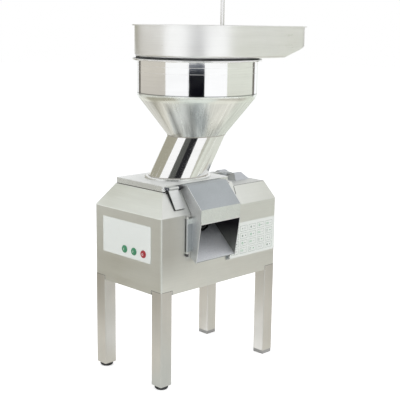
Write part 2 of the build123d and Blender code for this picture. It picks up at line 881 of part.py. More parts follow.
def make_arm(y0):
    """Flat arm from the lid skirt to its eye on the hinge rod."""
    y1 = y0 + arm_thickness
    root = raised_top + arm_root_lift
    outline = [
        (lid_x1, root), (lid_x1, root + arm_root_height),
        (hinge_x, hinge_z + arm_eye_radius - 0.01), (hinge_x, hinge_z),
        (step_x + arm_root_height, root - 1),
    ]
    arm = prism_y(outline, y0, y1) + bar_y(y0, y1, hinge_x, hinge_z, arm_eye_radius)
    return arm - bar_y(y0 - 1, y1 + 1, hinge_x, hinge_z, hinge_rod_radius + running_gap)


def make_hinge_rod():
    """Rod between the blind bores of the two hinge blocks."""
    reach = bracket_spread - bracket_depth / 2 + bracket_bore_depth - 0.5
    rod = bar_y(centre_y - reach, centre_y + reach, hinge_x, hinge_z, hinge_rod_radius)
    return chamfer(rod.edges().filter_by(GeomType.CIRCLE), 0.8)


def strap_barrel():
    """Centre of the strap barrel as (y, z)."""
    return (lid_y0 - strap_reach, strap_barrel_z)


def make_strap():
    """Sheet strap that lies along the slope, with a rolled barrel above and a pad below."""
    y, z = strap_barrel()
    x1 = strap_x0 + strap_width
    top_s = (y + (z - shoulder_height) * slope_ratio) / math.hypot(1, slope_ratio) - 2
    start = slope_point(top_s, strap_end_lift + 4.5)
    end = slope_point(strap_end, strap_end_lift)
    strap = prism_x(folded([start, end], strap_thickness), strap_x0, x1)
    strap += bar_x(strap_x0, x1, y, z, strap_barrel_radius)
    pad = [
        slope_point(strap_end + 4, strap_pad_gap), slope_point(strap_end + 22, strap_pad_gap),
        slope_point(strap_end + 22, strap_end_lift + 2), slope_point(strap_end + 4, strap_end_lift + 1),
    ]
    strap += prism_x(pad, strap_x0 + 10, x1 - 10)
    return strap - bar_x(strap_x0 - 1, x1 + 1, y, z, strap_pin_radius + running_gap)


def make_strap_lugs():
    """Two lugs on the lid skirt that carry the strap pin."""
    y, z = strap_barrel()
    x1 = strap_x0 + strap_width
    lugs = []
    for a in (strap_x0 - strap_side_gap - strap_lug, x1 + strap_side_gap):
        b = a + strap_lug
        lug = block(a, b, y, lid_y0, z - 5, z + 5) + bar_x(a, b, y, z, strap_barrel_radius - 0.5)
        lugs.append(lug - bar_x(a - 1, b + 1, y, z, strap_pin_radius))
    return Part() + lugs


def make_strap_pin():
    """Pin through both lugs and the strap barrel."""
    y, z = strap_barrel()
    reach = strap_lug + strap_side_gap
    return bar_x(strap_x0 - reach, strap_x0 + strap_width + reach + 8, y, z, strap_pin_radius)


def make_strap_knob():
    """Dark knob on the end of the strap pin."""
    y, z = strap_barrel()
    x0 = strap_x0 + strap_width + strap_side_gap + strap_lug
    knob = bar_x(x0, x0 + strap_knob_length, y, z, strap_knob_radius)
    knob = fillet(knob.edges().group_by(Axis.X)[-1], 2)
    return knob - bar_x(x0 - 1, x0 + 8, y, z, strap_pin_radius)


def hood_line():
    """Inner face of the chute hood: back edge, crest, slope, lip."""
    return [
        (chute_back, chute_crest_z - chute_sheet),
        (chute_crest_y, chute_crest_z - chute_sheet),
        (-chute_front + chute_sheet, chute_fold_z - 1),
        (-chute_front + chute_sheet, chute_lip_z),
    ]


def cheek_outline():
    """Side plate of the chute, cut back over the wall and the slope."""
    gap = chute_wall_gap
    run = math.hypot(1, slope_ratio)
    foot = shoulder_height - gap / slope_ratio + gap * run / slope_ratio
    back_z = shoulder_height + slope_ratio * chute_back + gap * run
    return [
        (chute_back, back_z), (chute_back, chute_crest_z - 0.5), (chute_crest_y, chute_crest_z - 0.5),
        (-chute_front + 0.5, chute_fold_z), (-chute_front + 0.5, chute_lip_z),
        (-chute_mouth_y, chute_mouth_z - 6), (-gap, chute_floor(-gap) - 12), (-gap, foot),
    ]


def make_chute():
    """Welded chute: hood, two cheeks, floor, hinge sleeve and catch tab."""
    gap = chute_wall_gap
    chute = prism_x(folded(hood_line(), chute_sheet), chute_x0, chute_x1)
    chute += prism_x(cheek_outline(), chute_x0, chute_x0 + chute_sheet)
    chute += prism_x(cheek_outline(), chute_x1 - chute_sheet, chute_x1)
    under = chute_sheet * math.hypot(1, chute_floor_slope)
    floor_line = [
        (-gap, chute_floor(-gap)), (-chute_mouth_y, chute_mouth_z),
        (-chute_mouth_y, chute_mouth_z - under), (-gap, chute_floor(-gap) - under),
    ]
    chute += prism_x(floor_line, chute_x0, chute_x1)
    leaf_y = -chute_rod_y
    chute += block(
        chute_rod_x, chute_x0 + 0.5, leaf_y - 1, leaf_y + 1, chute_sleeve_bottom, chute_sleeve_top
    )
    chute += disc(
        chute_rod_x, leaf_y, chute_sleeve_bottom, chute_sleeve_top, chute_sleeve_radius
    )
    chute -= disc(
        chute_rod_x, leaf_y, chute_sleeve_bottom - 1, chute_sleeve_top + 1,
        chute_rod_radius + running_gap,
    )
    half = catch_tab_width / 2
    x1 = min(catch_x + half, chute_x1)
    chute += block(
        catch_x - half, x1, -gap - chute_sheet, -gap, catch_z - half, chute_floor(-gap) - 1
    )
    return chute - bar_y(-10, 0, catch_x, catch_z, catch_stem_radius + running_gap)


def make_chute_lugs():
    """Two lugs on the chute face that hold the chute hinge rod."""
    lugs = []
    clear = chute_lug_gap
    for z in (chute_sleeve_bottom - clear - chute_lug_height, chute_sleeve_top + clear):
        z1 = z + chute_lug_height
        lug = disc(chute_rod_x, -chute_rod_y, z, z1, chute_sleeve_radius)
        lug += block(
            chute_rod_x - chute_sleeve_radius, chute_rod_x + chute_sleeve_radius,
            -chute_rod_y, 0, z, z1,
        )
        lugs.append(lug - disc(chute_rod_x, -chute_rod_y, z - 1, z1 + 1, chute_rod_radius))
    return Part() + lugs


def make_chute_rod():
    """Hinge rod of the chute."""
    low = chute_sleeve_bottom - chute_lug_gap - chute_lug_height - 6
    high = chute_sleeve_top + chute_lug_gap + chute_lug_height + 1
    return disc(chute_rod_x, -chute_rod_y, low, high, chute_rod_radius)


def make_rod_cap():
    """Dark cap nut under the lower lug."""
    z1 = chute_sleeve_bottom - chute_lug_gap - chute_lug_height
    cap = disc(chute_rod_x, -chute_rod_y, z1 - chute_cap_height, z1, chute_sleeve_radius + 0.5)
    cap = fillet(cap.edges().group_by(Axis.Z)[0], 2)
    return cap - disc(chute_rod_x, -chute_rod_y, z1 - 6, z1 + 1, chute_rod_radius)


def make_catch_knob():
    """Small hand knob that holds the chute shut."""
    face = -chute_wall_gap - chute_sheet
    knob = bar_y(face - catch_knob_length, face - 0.3, catch_x, catch_z, catch_knob_radius)
    for i in range(8):
        angle = math.radians(45 * i)
        x = catch_x + (catch_knob_radius + 0.6) * math.cos(angle)
        z = catch_z + (catch_knob_radius + 0.6) * math.sin(angle)
        knob -= bar_y(face - catch_knob_length - 1, face + 1, x, z, 1.4)
    return knob + bar_y(face - 1, -0.3, catch_x, catch_z, catch_stem_radius)


def make_control_plate():
    """Plate round the push buttons."""
    plate = block(-panel_thickness, 0, panel_y0, panel_y1, panel_z0, panel_z1)
    plate = fillet(plate.edges().filter_by(Axis.X), 3)
    for y in button_y:
        plate -= bar_x(-5, 5, y, button_z, cap_radius + cap_gap)
    return plate


def make_instruction_plate():
    """Plate beside the chute."""
    plate = block(label_x0, label_x1, -label_thickness, 0, label_z0, label_z1)
    return fillet(plate.edges().filter_by(Axis.Y), 3)


def make_bezel(y):
    """Round bezel clamped on the control plate."""
    x0 = -panel_thickness - bezel_height
    bezel = bar_x(x0, -panel_thickness, y, button_z, bezel_radius)
    bezel = fillet(bezel.edges().group_by(Axis.X)[0], 1.5)
    return bezel - bar_x(x0 - 1, 5, y, button_z, cap_radius + cap_gap)


def make_button(y):
    """Push button cap with its stem."""
    x0 = -panel_thickness - cap_height
    cap = bar_x(x0, 0, y, button_z, cap_radius)
    cap = fillet(cap.edges().group_by(Axis.X)[0], 1.2)
    return cap + bar_x(0, sheet + 8, y, button_z, button_stem_radius)


def make_contact_blocks():
    """Switch blocks behind the buttons, each with a well for the stem."""
    half = contact_size / 2
    blocks = []
    for y in button_y:
        x0 = sheet
        body = block(x0, x0 + contact_depth, y - half, y + half, button_z - half, button_z + half)
        blocks.append(body - bar_x(x0 - 1, x0 + 15, y, button_z, cap_radius + cap_gap))
    return Part() + blocks


def make_electrical_box():
    """Closed box for the starter on the chassis plate."""
    length, depth, height = electrical_box_size
    x0 = 45.0
    box = block(
        x0, x0 + length, centre_y - depth / 2, centre_y + depth / 2, chassis_top, chassis_top + height
    )
    return fillet(box.edges().filter_by(Axis.Z), 5)


def make_gland():
    """Cable inlet: thread through the wall, hexagon and dome nut, bored."""
    back = body_depth
    base = Plane(origin=(gland_x, back, gland_z), z_dir=(0, 1, 0))
    gland = extrude(base * RegularPolygon(gland_radius, 6), gland_length * 0.45)
    dome = extrude(base.offset(gland_length * 0.45) * Circle(gland_radius * 0.9), gland_length * 0.55)
    gland += fillet(dome.edges().group_by(Axis.Y)[-1], 3)
    gland += extrude(base * Circle(gland_radius * 0.75 - 0.1), -15)
    return gland - extrude(base.offset(-20) * Circle(gland_radius * 0.4), gland_length + 30)


def leg_places():
    """Leg centres, named by the faces they stand under."""
    near = leg_width / 2
    far_x = body_length - near
    far_y = body_depth - near
    return {
        "control_front": (near, near), "control_back": (near, far_y),
        "end_front": (far_x, near), "end_back": (far_x, far_y),
    }


def build_parts():
    """Every piece by name, in the working frame."""
    parts = {
        "body_shell": make_body_shell(),
        "chassis_plate": make_chassis_plate(),
        "deck_plate": make_deck_plate(),
        "deck_pillars": make_pillars(),
        "chamber_bowl": make_bowl(),
        "chute_throat": make_throat(),
        "bearing_housing": make_bearing_housing(),
        "shaft_bearings": make_bearings(),
        "drive_shaft": make_drive_shaft(),
        "driven_pulley": make_driven_pulley(),
        "drive_belt": make_belt(),
        "motor_body": make_motor(),
        "motor_shaft": make_motor_shaft(),
        "motor_pulley": make_pulley(motor_x, motor_pulley_radius, motor_shaft_radius),
        "slicing_disc": make_slicing_disc(),
        "slicing_blades": make_blades(),
        "ejector_disc": make_ejector(),
        "lid": make_lid(),
        "tube_collar": make_collar(),
        "feed_tube": make_feed_tube(),
        "hopper": make_hopper(),
        "tray_seat_ring": make_seat_ring(),
        "tray": make_tray(),
        "stirring_rod": make_rod(),
        "rod_knob": make_rod_knob(),
        "rod_guide": make_rod_guide(),
        "hinge_rod": make_hinge_rod(),
        "lid_strap": make_strap(),
        "strap_lugs": make_strap_lugs(),
        "strap_pin": make_strap_pin(),
        "strap_knob": make_strap_knob(),
        "chute": make_chute(),
        "chute_hinge_lugs": make_chute_lugs(),
        "chute_hinge_rod": make_chute_rod(),
        "chute_rod_cap": make_rod_cap(),
        "chute_catch_knob": make_catch_knob(),
        "control_plate": make_control_plate(),
        "instruction_plate": make_instruction_plate(),
        "contact_blocks": make_contact_blocks(),
        "electrical_box": make_electrical_box(),
        "cable_gland": make_gland(),
    }
    for name, middle_y, inward in zip(("front", "rear"), bracket_centres(), (1, -1)):
        parts["hinge_bracket_" + name] = make_bracket(middle_y, inward)
    for name, y0 in zip(("front", "rear"), arm_places()):
        parts["lid_arm_" + name] = make_arm(y0)
    for name, (x, y) in leg_places().items():
        parts["leg_" + name] = make_leg(x, y)
        foot = make_round_foot(x, y) if name.startswith("control") else make_cap_foot(x, y)
        parts["foot_" + name] = foot
    for number, y in enumerate(button_y, 1):
        parts["bezel_" + str(number)] = make_bezel(y)
        parts["button_" + str(number)] = make_button(y)
    return parts


def main():
    """Place the machine with its origin under the middle of its outline and write each piece."""
    parts = build_parts()
    boxes = [shape.bounding_box() for shape in parts.values()]
    mid_x = (min(b.min.X for b in boxes) + max(b.max.X for b in boxes)) / 2
    mid_y = (min(b.min.Y for b in boxes) + max(b.max.Y for b in boxes)) / 2
    print("origin at", round(mid_x, 4), round(mid_y, 4))
    os.makedirs("parts", exist_ok=True)
    for name, shape in parts.items():
        export_step(Pos(-mid_x, -mid_y, 0) * shape, "parts/" + name + ".step")


main()
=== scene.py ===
import json
import math

import bmesh
import bpy
from mathutils import Matrix, Vector

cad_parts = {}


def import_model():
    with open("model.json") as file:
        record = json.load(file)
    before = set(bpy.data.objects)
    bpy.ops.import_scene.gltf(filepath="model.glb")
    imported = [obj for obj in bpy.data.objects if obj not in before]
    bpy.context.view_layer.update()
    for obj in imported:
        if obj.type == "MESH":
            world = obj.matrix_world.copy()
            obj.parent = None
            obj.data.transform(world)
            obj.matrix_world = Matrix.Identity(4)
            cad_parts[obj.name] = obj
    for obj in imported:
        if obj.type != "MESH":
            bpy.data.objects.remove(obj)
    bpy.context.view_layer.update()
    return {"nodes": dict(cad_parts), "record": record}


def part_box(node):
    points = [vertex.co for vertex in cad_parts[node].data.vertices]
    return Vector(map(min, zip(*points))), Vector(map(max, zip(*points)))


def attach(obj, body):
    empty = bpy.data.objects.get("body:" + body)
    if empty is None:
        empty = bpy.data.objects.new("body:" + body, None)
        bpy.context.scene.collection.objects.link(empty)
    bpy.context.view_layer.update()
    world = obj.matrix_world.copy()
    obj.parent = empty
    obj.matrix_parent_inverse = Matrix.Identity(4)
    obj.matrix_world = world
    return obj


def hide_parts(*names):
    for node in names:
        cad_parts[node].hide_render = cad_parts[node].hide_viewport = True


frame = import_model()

NODES = frame["nodes"]
SLOT_OF = {s["node"]: s["material_slot"] for s in frame["record"]["subparts"]}

# Sizes of the machine in working millimetres: x from the control face, y from the chute face,
# z up from the floor. W() turns them into the row frame in metres.
ORIGIN_X, ORIGIN_Y = 378.75, 192.5
BODY_LENGTH, BODY_DEPTH, BODY_BOTTOM = 630.0, 385.0, 369.0
SHOULDER, RAISED_TOP, LOW_TOP = 663.0, 748.0, 733.0
SLOPE_INSET, STEP_X = 57.0, 425.0
LEG, NOTCH_TOP = 55.3, 385.3
CHAMBER_X, CENTRE_Y = 262.5, 192.5
LID_X0, LID_X1, LID_Y0, LID_Y1 = 57.0, 408.0, 57.0, 328.0
LID_CORNER = 8.0
COLLAR_TOP, NECK, SHOULDER_FOLD = 778.0, 928.0, 1083.0
TUBE_R, LEAN = 104.0, 0.65
BARREL_R, HOPPER_FLANGE, HOPPER_TOP, FLANGE_HEIGHT, HOPPER_WALL = 236.0, 253.0, 1225.0, 4.5, 1.5
SOFT_BEND = 14.0
HOPPER_X = CHAMBER_X + LEAN * (NECK - COLLAR_TOP)
CHUTE_X0, CHUTE_X1 = 148.0, 359.0
CHUTE_FRONT, CHUTE_CREST_Y, CHUTE_CREST_Z = -54.0, 23.0, 768.0
CHUTE_FOLD, CHUTE_LIP = 686.0, 631.0
CHUTE_MOUTH_Y, CHUTE_MOUTH_Z, CHUTE_FLOOR_SLOPE, CHUTE_SHEET = -30.0, 483.0, 0.93, 2.0
STRAP_X0, STRAP_X1 = 78.0, 126.0
LABEL_X0, LABEL_Z0, LABEL_FACE = 356.0, 452.0, -0.8

# Faces that meet at more than this angle keep a sharp edge
SHARP_EDGE = math.radians(32)

# Finish of the hopper, with painted reflections and painted shade on its cone, in metres and radians of the
# row frame
SCRATCHES = ((1.2002, 0.0012), (1.1762, 0.0011))
# Dark stripes of painted reflection down the cone, as angle, width and depth
CONE_PAINTED_REFLECTIONS = ((-2.875, 0.10, 0.52), (-2.455, 0.13, 0.42), (0.4, 0.12, 0.4), (1.3, 0.16, 0.3))
REFLECTION_FADE_START, REFLECTION_FADE_END = 1.030, 1.070
# Painted shade on one side of the cone
PAINTED_SHADE_SIDE, PAINTED_SHADE_WIDTH, PAINTED_SHADE_DEPTH = 2.95, 0.5, 0.22


def W(x, y, z):
    """Working millimetres to the row frame."""
    return Vector(((x - ORIGIN_X) / 1000, (y - ORIGIN_Y) / 1000, z / 1000))


# Camera
CAMERA_PLACE = (-2.48327, -2.51581, 1.36763)
CAMERA_AZIMUTH, CAMERA_PITCH, CAMERA_ROLL = 0.78, 0.198, 0.013
FOCAL_PIXELS, FRAME_PIXELS, SENSOR = 888.058, 400, 36.0


def make_camera():
    az, pitch, roll = CAMERA_AZIMUTH, CAMERA_PITCH, CAMERA_ROLL
    level = math.cos(pitch)
    forward = Vector((math.sin(az) * level, math.cos(az) * level, -math.sin(pitch)))
    side = Vector((math.cos(az), -math.sin(az), 0))
    above = side.cross(forward)
    right = side * math.cos(roll) + above * math.sin(roll)
    up = above * math.cos(roll) - side * math.sin(roll)
    data = bpy.data.cameras.new("camera")
    data.sensor_width = SENSOR
    data.lens = FOCAL_PIXELS / FRAME_PIXELS * SENSOR
    data.clip_end = 60
    cam = bpy.data.objects.new("camera", data)
    bpy.context.scene.collection.objects.link(cam)
    m = Matrix.Identity(4)
    for column, v in enumerate((right, up, -forward, Vector(CAMERA_PLACE))):
        for row in range(3):
            m[row][column] = v[row]
    cam.matrix_world = m
    bpy.context.scene.camera = cam


make_camera()


# Node helpers
class Tree:
    """Shorthand for building a Principled material."""

    def __init__(self, name):
        self.mat = bpy.data.materials.new(name)
        self.mat.use_nodes = True
        self.nt = self.mat.node_tree
        self.bsdf = self.nt.nodes["Principled BSDF"]
        self.out = self.nt.nodes["Material Output"]
        self.source = self.nt.nodes.new("ShaderNodeTexCoord")

    def node(self, kind, **settings):
        n = self.nt.nodes.new(kind)
        for k, v in settings.items():
            if k in n.inputs:
                n.inputs[k].default_value = v
            else:
                setattr(n, k, v)
        return n

    def link(self, a, b):
        self.nt.links.new(a, b)

    def place(self):
        """Object-space position as separate x, y and z outputs."""
        s = self.node("ShaderNodeSeparateXYZ")
        self.link(self.source.outputs["Object"], s.inputs[0])
        return s.outputs

    def facing(self):
        """Object-space normal as separate x, y and z outputs."""
        s = self.node("ShaderNodeSeparateXYZ")
        self.link(self.source.outputs["Normal"], s.inputs[0])
        return s.outputs

    def coords(self, scale=(1, 1, 1)):
        mp = self.node("ShaderNodeMapping")
        mp.inputs["Scale"].default_value = scale
        self.link(self.source.outputs["Object"], mp.inputs["Vector"])
        return mp.outputs["Vector"]

    def turn(self, centre):
        """Angle round the upright axis at centre."""
        x, y, z = self.place()
        dx = self.math("SUBTRACT", x, centre.x)
        dy = self.math("SUBTRACT", y, centre.y)
        return self.math("ARCTAN2", dy, dx)

    def around(self, centre, turn_scale, rise_scale):
        """Coordinates that run round an upright axis: scaled angle, 0, scaled height."""
        c = self.node("ShaderNodeCombineXYZ")
        self.link(self.math("MULTIPLY", self.turn(centre), turn_scale), c.inputs[0])
        self.link(self.math("MULTIPLY", self.place()[2], rise_scale), c.inputs[2])
        return c.outputs[0]

    def noise(self, vec, scale, detail=4, rough=0.5, distortion=0.0):
        n = self.node("ShaderNodeTexNoise")
        n.inputs["Scale"].default_value = scale
        n.inputs["Detail"].default_value = detail
        n.inputs["Roughness"].default_value = rough
        n.inputs["Distortion"].default_value = distortion
        self.link(vec, n.inputs["Vector"])
        return n.outputs["Fac"]

    def remap(self, value, lo, hi, a=0.3, b=0.7):
        m = self.node("ShaderNodeMapRange")
        m.inputs["From Min"].default_value = a
        m.inputs["From Max"].default_value = b
        m.inputs["To Min"].default_value = lo
        m.inputs["To Max"].default_value = hi
        self.link(value, m.inputs["Value"])
        return m.outputs["Result"]

    def math(self, op, a, b=0.0, clamp=False):
        m = self.node("ShaderNodeMath", operation=op, use_clamp=clamp)
        for i, v in enumerate((a, b)):
            if isinstance(v, (int, float)):
                m.inputs[i].default_value = v
            else:
                self.link(v, m.inputs[i])
        return m.outputs[0]

    def band(self, value, centre, width):
        """1 at the centre, falling to 0 at the width on each side."""
        away = self.math("ABSOLUTE", self.math("SUBTRACT", value, centre))
        return self.math("SUBTRACT", 1.0, self.math("DIVIDE", away, width), clamp=True)

    def all_of(self, *masks):
        """Product of the masks: 1 where all of them are 1."""
        out = masks[0]
        for m in masks[1:]:
            out = self.math("MULTIPLY", out, m)
        return out

    def mix(self, fac, a, b):
        m = self.node("ShaderNodeMix", data_type="RGBA")
        for sock, v in ((m.inputs["Factor"], fac), (m.inputs["A"], a), (m.inputs["B"], b)):
            if isinstance(v, (int, float)):
                sock.default_value = v
            elif isinstance(v, tuple):
                sock.default_value = (*v, 1)
            else:
                self.link(v, sock)
        return m.outputs["Result"]

    def tint(self, colour, shade):
        """A colour, plain or linked, times a linked shade."""
        grey = self.node("ShaderNodeCombineXYZ")
        for i in range(3):
            self.link(shade, grey.inputs[i])
        tone = self.node("ShaderNodeVectorMath", operation="MULTIPLY")
        if isinstance(colour, tuple):
            tone.inputs[0].default_value = colour
        else:
            self.link(colour, tone.inputs[0])
        self.link(grey.outputs[0], tone.inputs[1])
        return tone.outputs[0]

    def darken(self, shade, mask, depth):
        """A shade that loses the fraction depth of itself where the mask is 1."""
        left = self.math("SUBTRACT", 1.0, self.math("MULTIPLY", mask, depth))
        return self.math("MULTIPLY", shade, left)

    def bump(self, height, strength, distance, normal=None):
        b = self.node("ShaderNodeBump")
        b.inputs["Strength"].default_value = strength
        b.inputs["Distance"].default_value = distance
        self.link(height, b.inputs["Height"])
        if normal is not None:
            self.link(normal, b.inputs["Normal"])
        return b.outputs["Normal"]


# Materials; the limits of their masks are in metres of the row frame
ACROSS = (0.03, 0.03, 1.0)


def brush_lines(t, stretch):
    """Fine and wide brushing lines, long in the directions that stretch scales down."""
    fine = t.noise(t.coords(stretch), 260, 3, 0.6)
    wide = t.noise(t.coords(tuple(v * 0.22 for v in stretch)), 120, 2, 0.5)
    return t.math("ADD", t.math("MULTIPLY", fine, 0.6), t.math("MULTIPLY", wide, 0.4))


def dress_steel(t, lines, colour, rough, spread=0.05, streak=0.10, bump=0.10, smudge=0.06):
    """Brushing in colour, roughness and bump, with soft handling marks and small spots."""
    cloud = t.noise(t.coords(), 5.5, 4, 0.55, 0.4)
    spots = t.noise(t.coords(), 46, 5, 0.6)
    lift = t.remap(lines, 1 - streak, 1 + streak * 0.55, 0.35, 0.65)
    wear = t.remap(cloud, 1.0, 0.955, 0.42, 0.72)
    shade = t.math("MULTIPLY", lift, wear)
    t.link(t.tint(colour, shade), t.bsdf.inputs["Base Color"])
    if isinstance(rough, (int, float)):
        r = t.remap(lines, rough - spread, rough + spread, 0.35, 0.65)
    else:
        r = t.math("ADD", rough, t.remap(lines, -spread, spread, 0.35, 0.65))
    r = t.math("ADD", r, t.remap(cloud, -smudge, smudge, 0.35, 0.65))
    r = t.math("ADD", r, t.remap(spots, 0.0, smudge * 0.8, 0.55, 0.75), clamp=True)
    t.link(r, t.bsdf.inputs["Roughness"])
    t.bsdf.inputs["Metallic"].default_value = 1.0
    n = t.bump(lines, bump, 0.0004)
    n = t.bump(t.noise(t.coords(), 9, 2), 0.10, 0.0012, n)
    t.link(n, t.bsdf.inputs["Normal"])
    return t.mat


def steel(name, colour, rough, stretch, **finish):
    t = Tree(name)
    return dress_steel(t, brush_lines(t, stretch), colour, rough, **finish)


def body_steel():
    """Satin sheet with a painted highlight on the slope over the controls and painted shade on tops, side
    slope and front corner.
    """
    t = Tree("body_steel")
    x, y, z = t.place()
    nx, ny, nz = t.facing()
    top = t.remap(nz, 0, 1, 0.93, 0.97)
    slanted = t.all_of(t.remap(nz, 0, 1, 0.2, 0.3), t.remap(nz, 1, 0, 0.9, 0.95))
    end = t.all_of(slanted, t.remap(nx, 1, 0, -0.5, -0.3))
    side = t.all_of(slanted, t.remap(ny, 1, 0, -0.5, -0.3), t.remap(x, 0, 1, -0.10, 0.22))
    upper = t.remap(z, 0, 1, 0.40, 0.52)
    corner = t.all_of(t.remap(ny, 1, 0, -0.95, -0.8), t.remap(x, 1, 0, -0.34, -0.12), upper)
    # Painted light by facing: lighter end slope, darker side slope, front corner and tops
    colour = t.mix(end, (0.80, 0.815, 0.785), (0.95, 0.985, 0.95))
    colour = t.mix(side, colour, (0.66, 0.67, 0.62))
    colour = t.mix(corner, colour, (0.56, 0.56, 0.53))
    colour = t.mix(top, colour, (0.60, 0.61, 0.59))
    return dress_steel(t, brush_lines(t, ACROSS), colour, 0.37, bump=0.08, streak=0.028)


def hopper_steel():
    """Polished barrel with hoop lines, duller cone with brushed streaks, painted shade and painted
    reflections down its side, and a painted dark line and painted highlight at the bend.
    """
    t = Tree("hopper_steel")
    z = t.place()[2]
    centre = W(HOPPER_X, CENTRE_Y, 0)
    bend = (SHOULDER_FOLD + SOFT_BEND - 2) / 1000
    cone = t.remap(z, 1.0, 0.0, bend, bend + 0.002)
    # Painted dark reflection line along the bend
    bend_painted_dark_line = t.all_of(
        t.remap(z, 0, 1, bend - 0.003, bend),
        t.remap(z, 1, 0, bend + 0.001, bend + 0.004),
    )
    # Painted highlight band on the cone just below the bend
    roll = t.all_of(
        t.remap(z, 0, 1, bend - 0.030, bend - 0.024),
        t.remap(z, 1, 0, bend, bend + 0.001),
    )
    # Brushing: hoops on the barrel, wide streaks and fine hairlines down the cone
    hoops = brush_lines(t, (0.02, 0.02, 1.0))
    streaks = t.noise(t.around(centre, 2.2, 1.1), 7, 3, 0.55, 0.3)
    hair = t.noise(t.around(centre, 30.0, 0.8), 9, 3, 0.6)
    down = t.math("ADD", t.math("MULTIPLY", streaks, 0.85), t.math("MULTIPLY", hair, 0.15))
    on_barrel = t.math("MULTIPLY", hoops, t.math("SUBTRACT", 1.0, cone))
    lines = t.math("ADD", on_barrel, t.math("MULTIPLY", down, cone))
    scratches = t.math("ADD", *(t.band(z, height, width) for height, width in SCRATCHES))
    rough = t.math("ADD", t.remap(cone, 0.065, 0.25, 0, 1), t.math("MULTIPLY", scratches, 0.3))
    # Shade of the cone: brushed streaks, painted shade on one side and dark painted reflections that fade
    # towards its top
    shade = t.remap(down, 0.90, 1.06, 0.36, 0.64)
    turn = t.turn(centre)
    fade = t.remap(z, 1, 0.25, REFLECTION_FADE_START, REFLECTION_FADE_END)
    shade = t.darken(shade, t.band(turn, PAINTED_SHADE_SIDE, PAINTED_SHADE_WIDTH), PAINTED_SHADE_DEPTH)
    for place, width, depth in CONE_PAINTED_REFLECTIONS:
        shade = t.darken(shade, t.all_of(t.band(turn, place, width), fade), depth)
    colour = t.mix(cone, (0.95, 0.95, 0.945), t.tint((0.90, 0.92, 0.90), shade))
    colour = t.mix(roll, colour, (0.92, 0.95, 0.91))
    colour = t.mix(t.math("MULTIPLY", bend_painted_dark_line, 0.75), colour, (0.16, 0.17, 0.17))
    return dress_steel(t, lines, colour, rough, spread=0.02, streak=0.05, bump=0.05, smudge=0.02)


def chute_steel():
    """Bead-blasted sheet: grey hood and paler lip, with painted light on the outer left cheek and painted
    shade on the inner right wall, the inner floor and the right wall's front edge.
    """
    t = Tree("chute_steel")
    x, y, z = t.place()
    nx, ny, nz = t.facing()
    mm = 0.001
    lip = t.all_of(
        t.remap(ny, 1, 0, -0.95, -0.75),
        t.remap(z, 0, 1, (CHUTE_LIP - 2) * mm, CHUTE_LIP * mm),
        t.remap(z, 1, 0, (CHUTE_FOLD + 1) * mm, (CHUTE_FOLD + 4) * mm),
    )
    side = t.remap(nx, 1, 0, -0.95, -0.7)
    left = (CHUTE_X0 - ORIGIN_X) * mm
    right = (CHUTE_X1 - 6 - ORIGIN_X) * mm
    # Painted light: the outer left cheek is lighter than the hood
    cheek = t.all_of(side, t.remap(x, 1, 0, left + 0.001, left + 0.003))
    # Painted shade on the inner right wall, darkest near the top
    wall = t.all_of(side, t.remap(x, 0, 1, right, right + 0.001), t.remap(z, 1, 0, 0.74, 0.76))
    # Painted shade on the floor, darker inwards from the mouth
    floor = t.all_of(t.remap(nz, 0, 1, 0.4, 0.6), t.remap(z, 1, 0, 0.632, 0.640))
    deep = t.remap(y, 0, 1, -0.150, -0.060)
    mouth = t.mix(deep, (0.78, 0.80, 0.83), (0.26, 0.26, 0.29))
    wall_painted_shade = t.mix(t.remap(z, 0, 1, 0.50, 0.60), (0.34, 0.35, 0.32), (0.06, 0.054, 0.066))
    colour = t.mix(lip, (0.455, 0.485, 0.505), (0.80, 0.84, 0.82))
    colour = t.mix(cheek, colour, (0.80, 0.81, 0.82))
    colour = t.mix(floor, colour, mouth)
    colour = t.mix(wall, colour, wall_painted_shade)
    # Painted shade on the front edge of the right wall
    rim = t.all_of(
        t.remap(ny, 1, 0, -0.95, -0.8),
        t.remap(x, 0, 1, right - 0.002, right),
        t.remap(y, 0, 1, -0.215, -0.205),
        t.remap(z, 1, 0, 0.66, 0.67),
    )
    colour = t.mix(rim, colour, (0.10, 0.10, 0.11))
    metal = t.math("SUBTRACT", 1.0, t.math("MULTIPLY", floor, 0.25))
    lines = t.noise(t.coords((0.5, 0.5, 0.5)), 330, 4, 0.65)
    dress_steel(t, lines, colour, 0.46, spread=0.06, streak=0.07, bump=0.16, smudge=0.05)
    t.link(metal, t.bsdf.inputs["Metallic"])
    return t.mat


def plastic(name, colour, rough, grain=420, bump=0.12, coat=0.0, wear=0.12):
    """Moulded or rubber surface with fine grain and worn patches."""
    t = Tree(name)
    g = t.noise(t.coords(), grain, 4, 0.6)
    c = t.noise(t.coords(), 24, 4, 0.55)
    light = tuple(min(1, v + (0.5 - v) * wear) for v in colour)
    t.link(t.mix(t.remap(c, 0, 1, 0.4, 0.75), colour, light), t.bsdf.inputs["Base Color"])
    r = t.math("ADD", t.remap(g, rough - 0.06, rough + 0.06), t.remap(c, -0.04, 0.06), clamp=True)
    t.link(r, t.bsdf.inputs["Roughness"])
    t.link(t.bump(g, bump, 0.0003), t.bsdf.inputs["Normal"])
    t.bsdf.inputs["Coat Weight"].default_value = coat
    t.bsdf.inputs["Coat Roughness"].default_value = 0.12
    return t.mat


def ink(name, colour, rough=0.45):
    """Printed ink with a little mottling."""
    t = Tree(name)
    g = t.noise(t.coords(), 900, 3, 0.6)
    light = tuple(min(1, v * 1.12 + 0.01) for v in colour)
    t.link(t.mix(t.remap(g, 0, 1, 0.3, 0.8), colour, light), t.bsdf.inputs["Base Color"])
    t.link(t.remap(g, rough - 0.05, rough + 0.05), t.bsdf.inputs["Roughness"])
    return t.mat


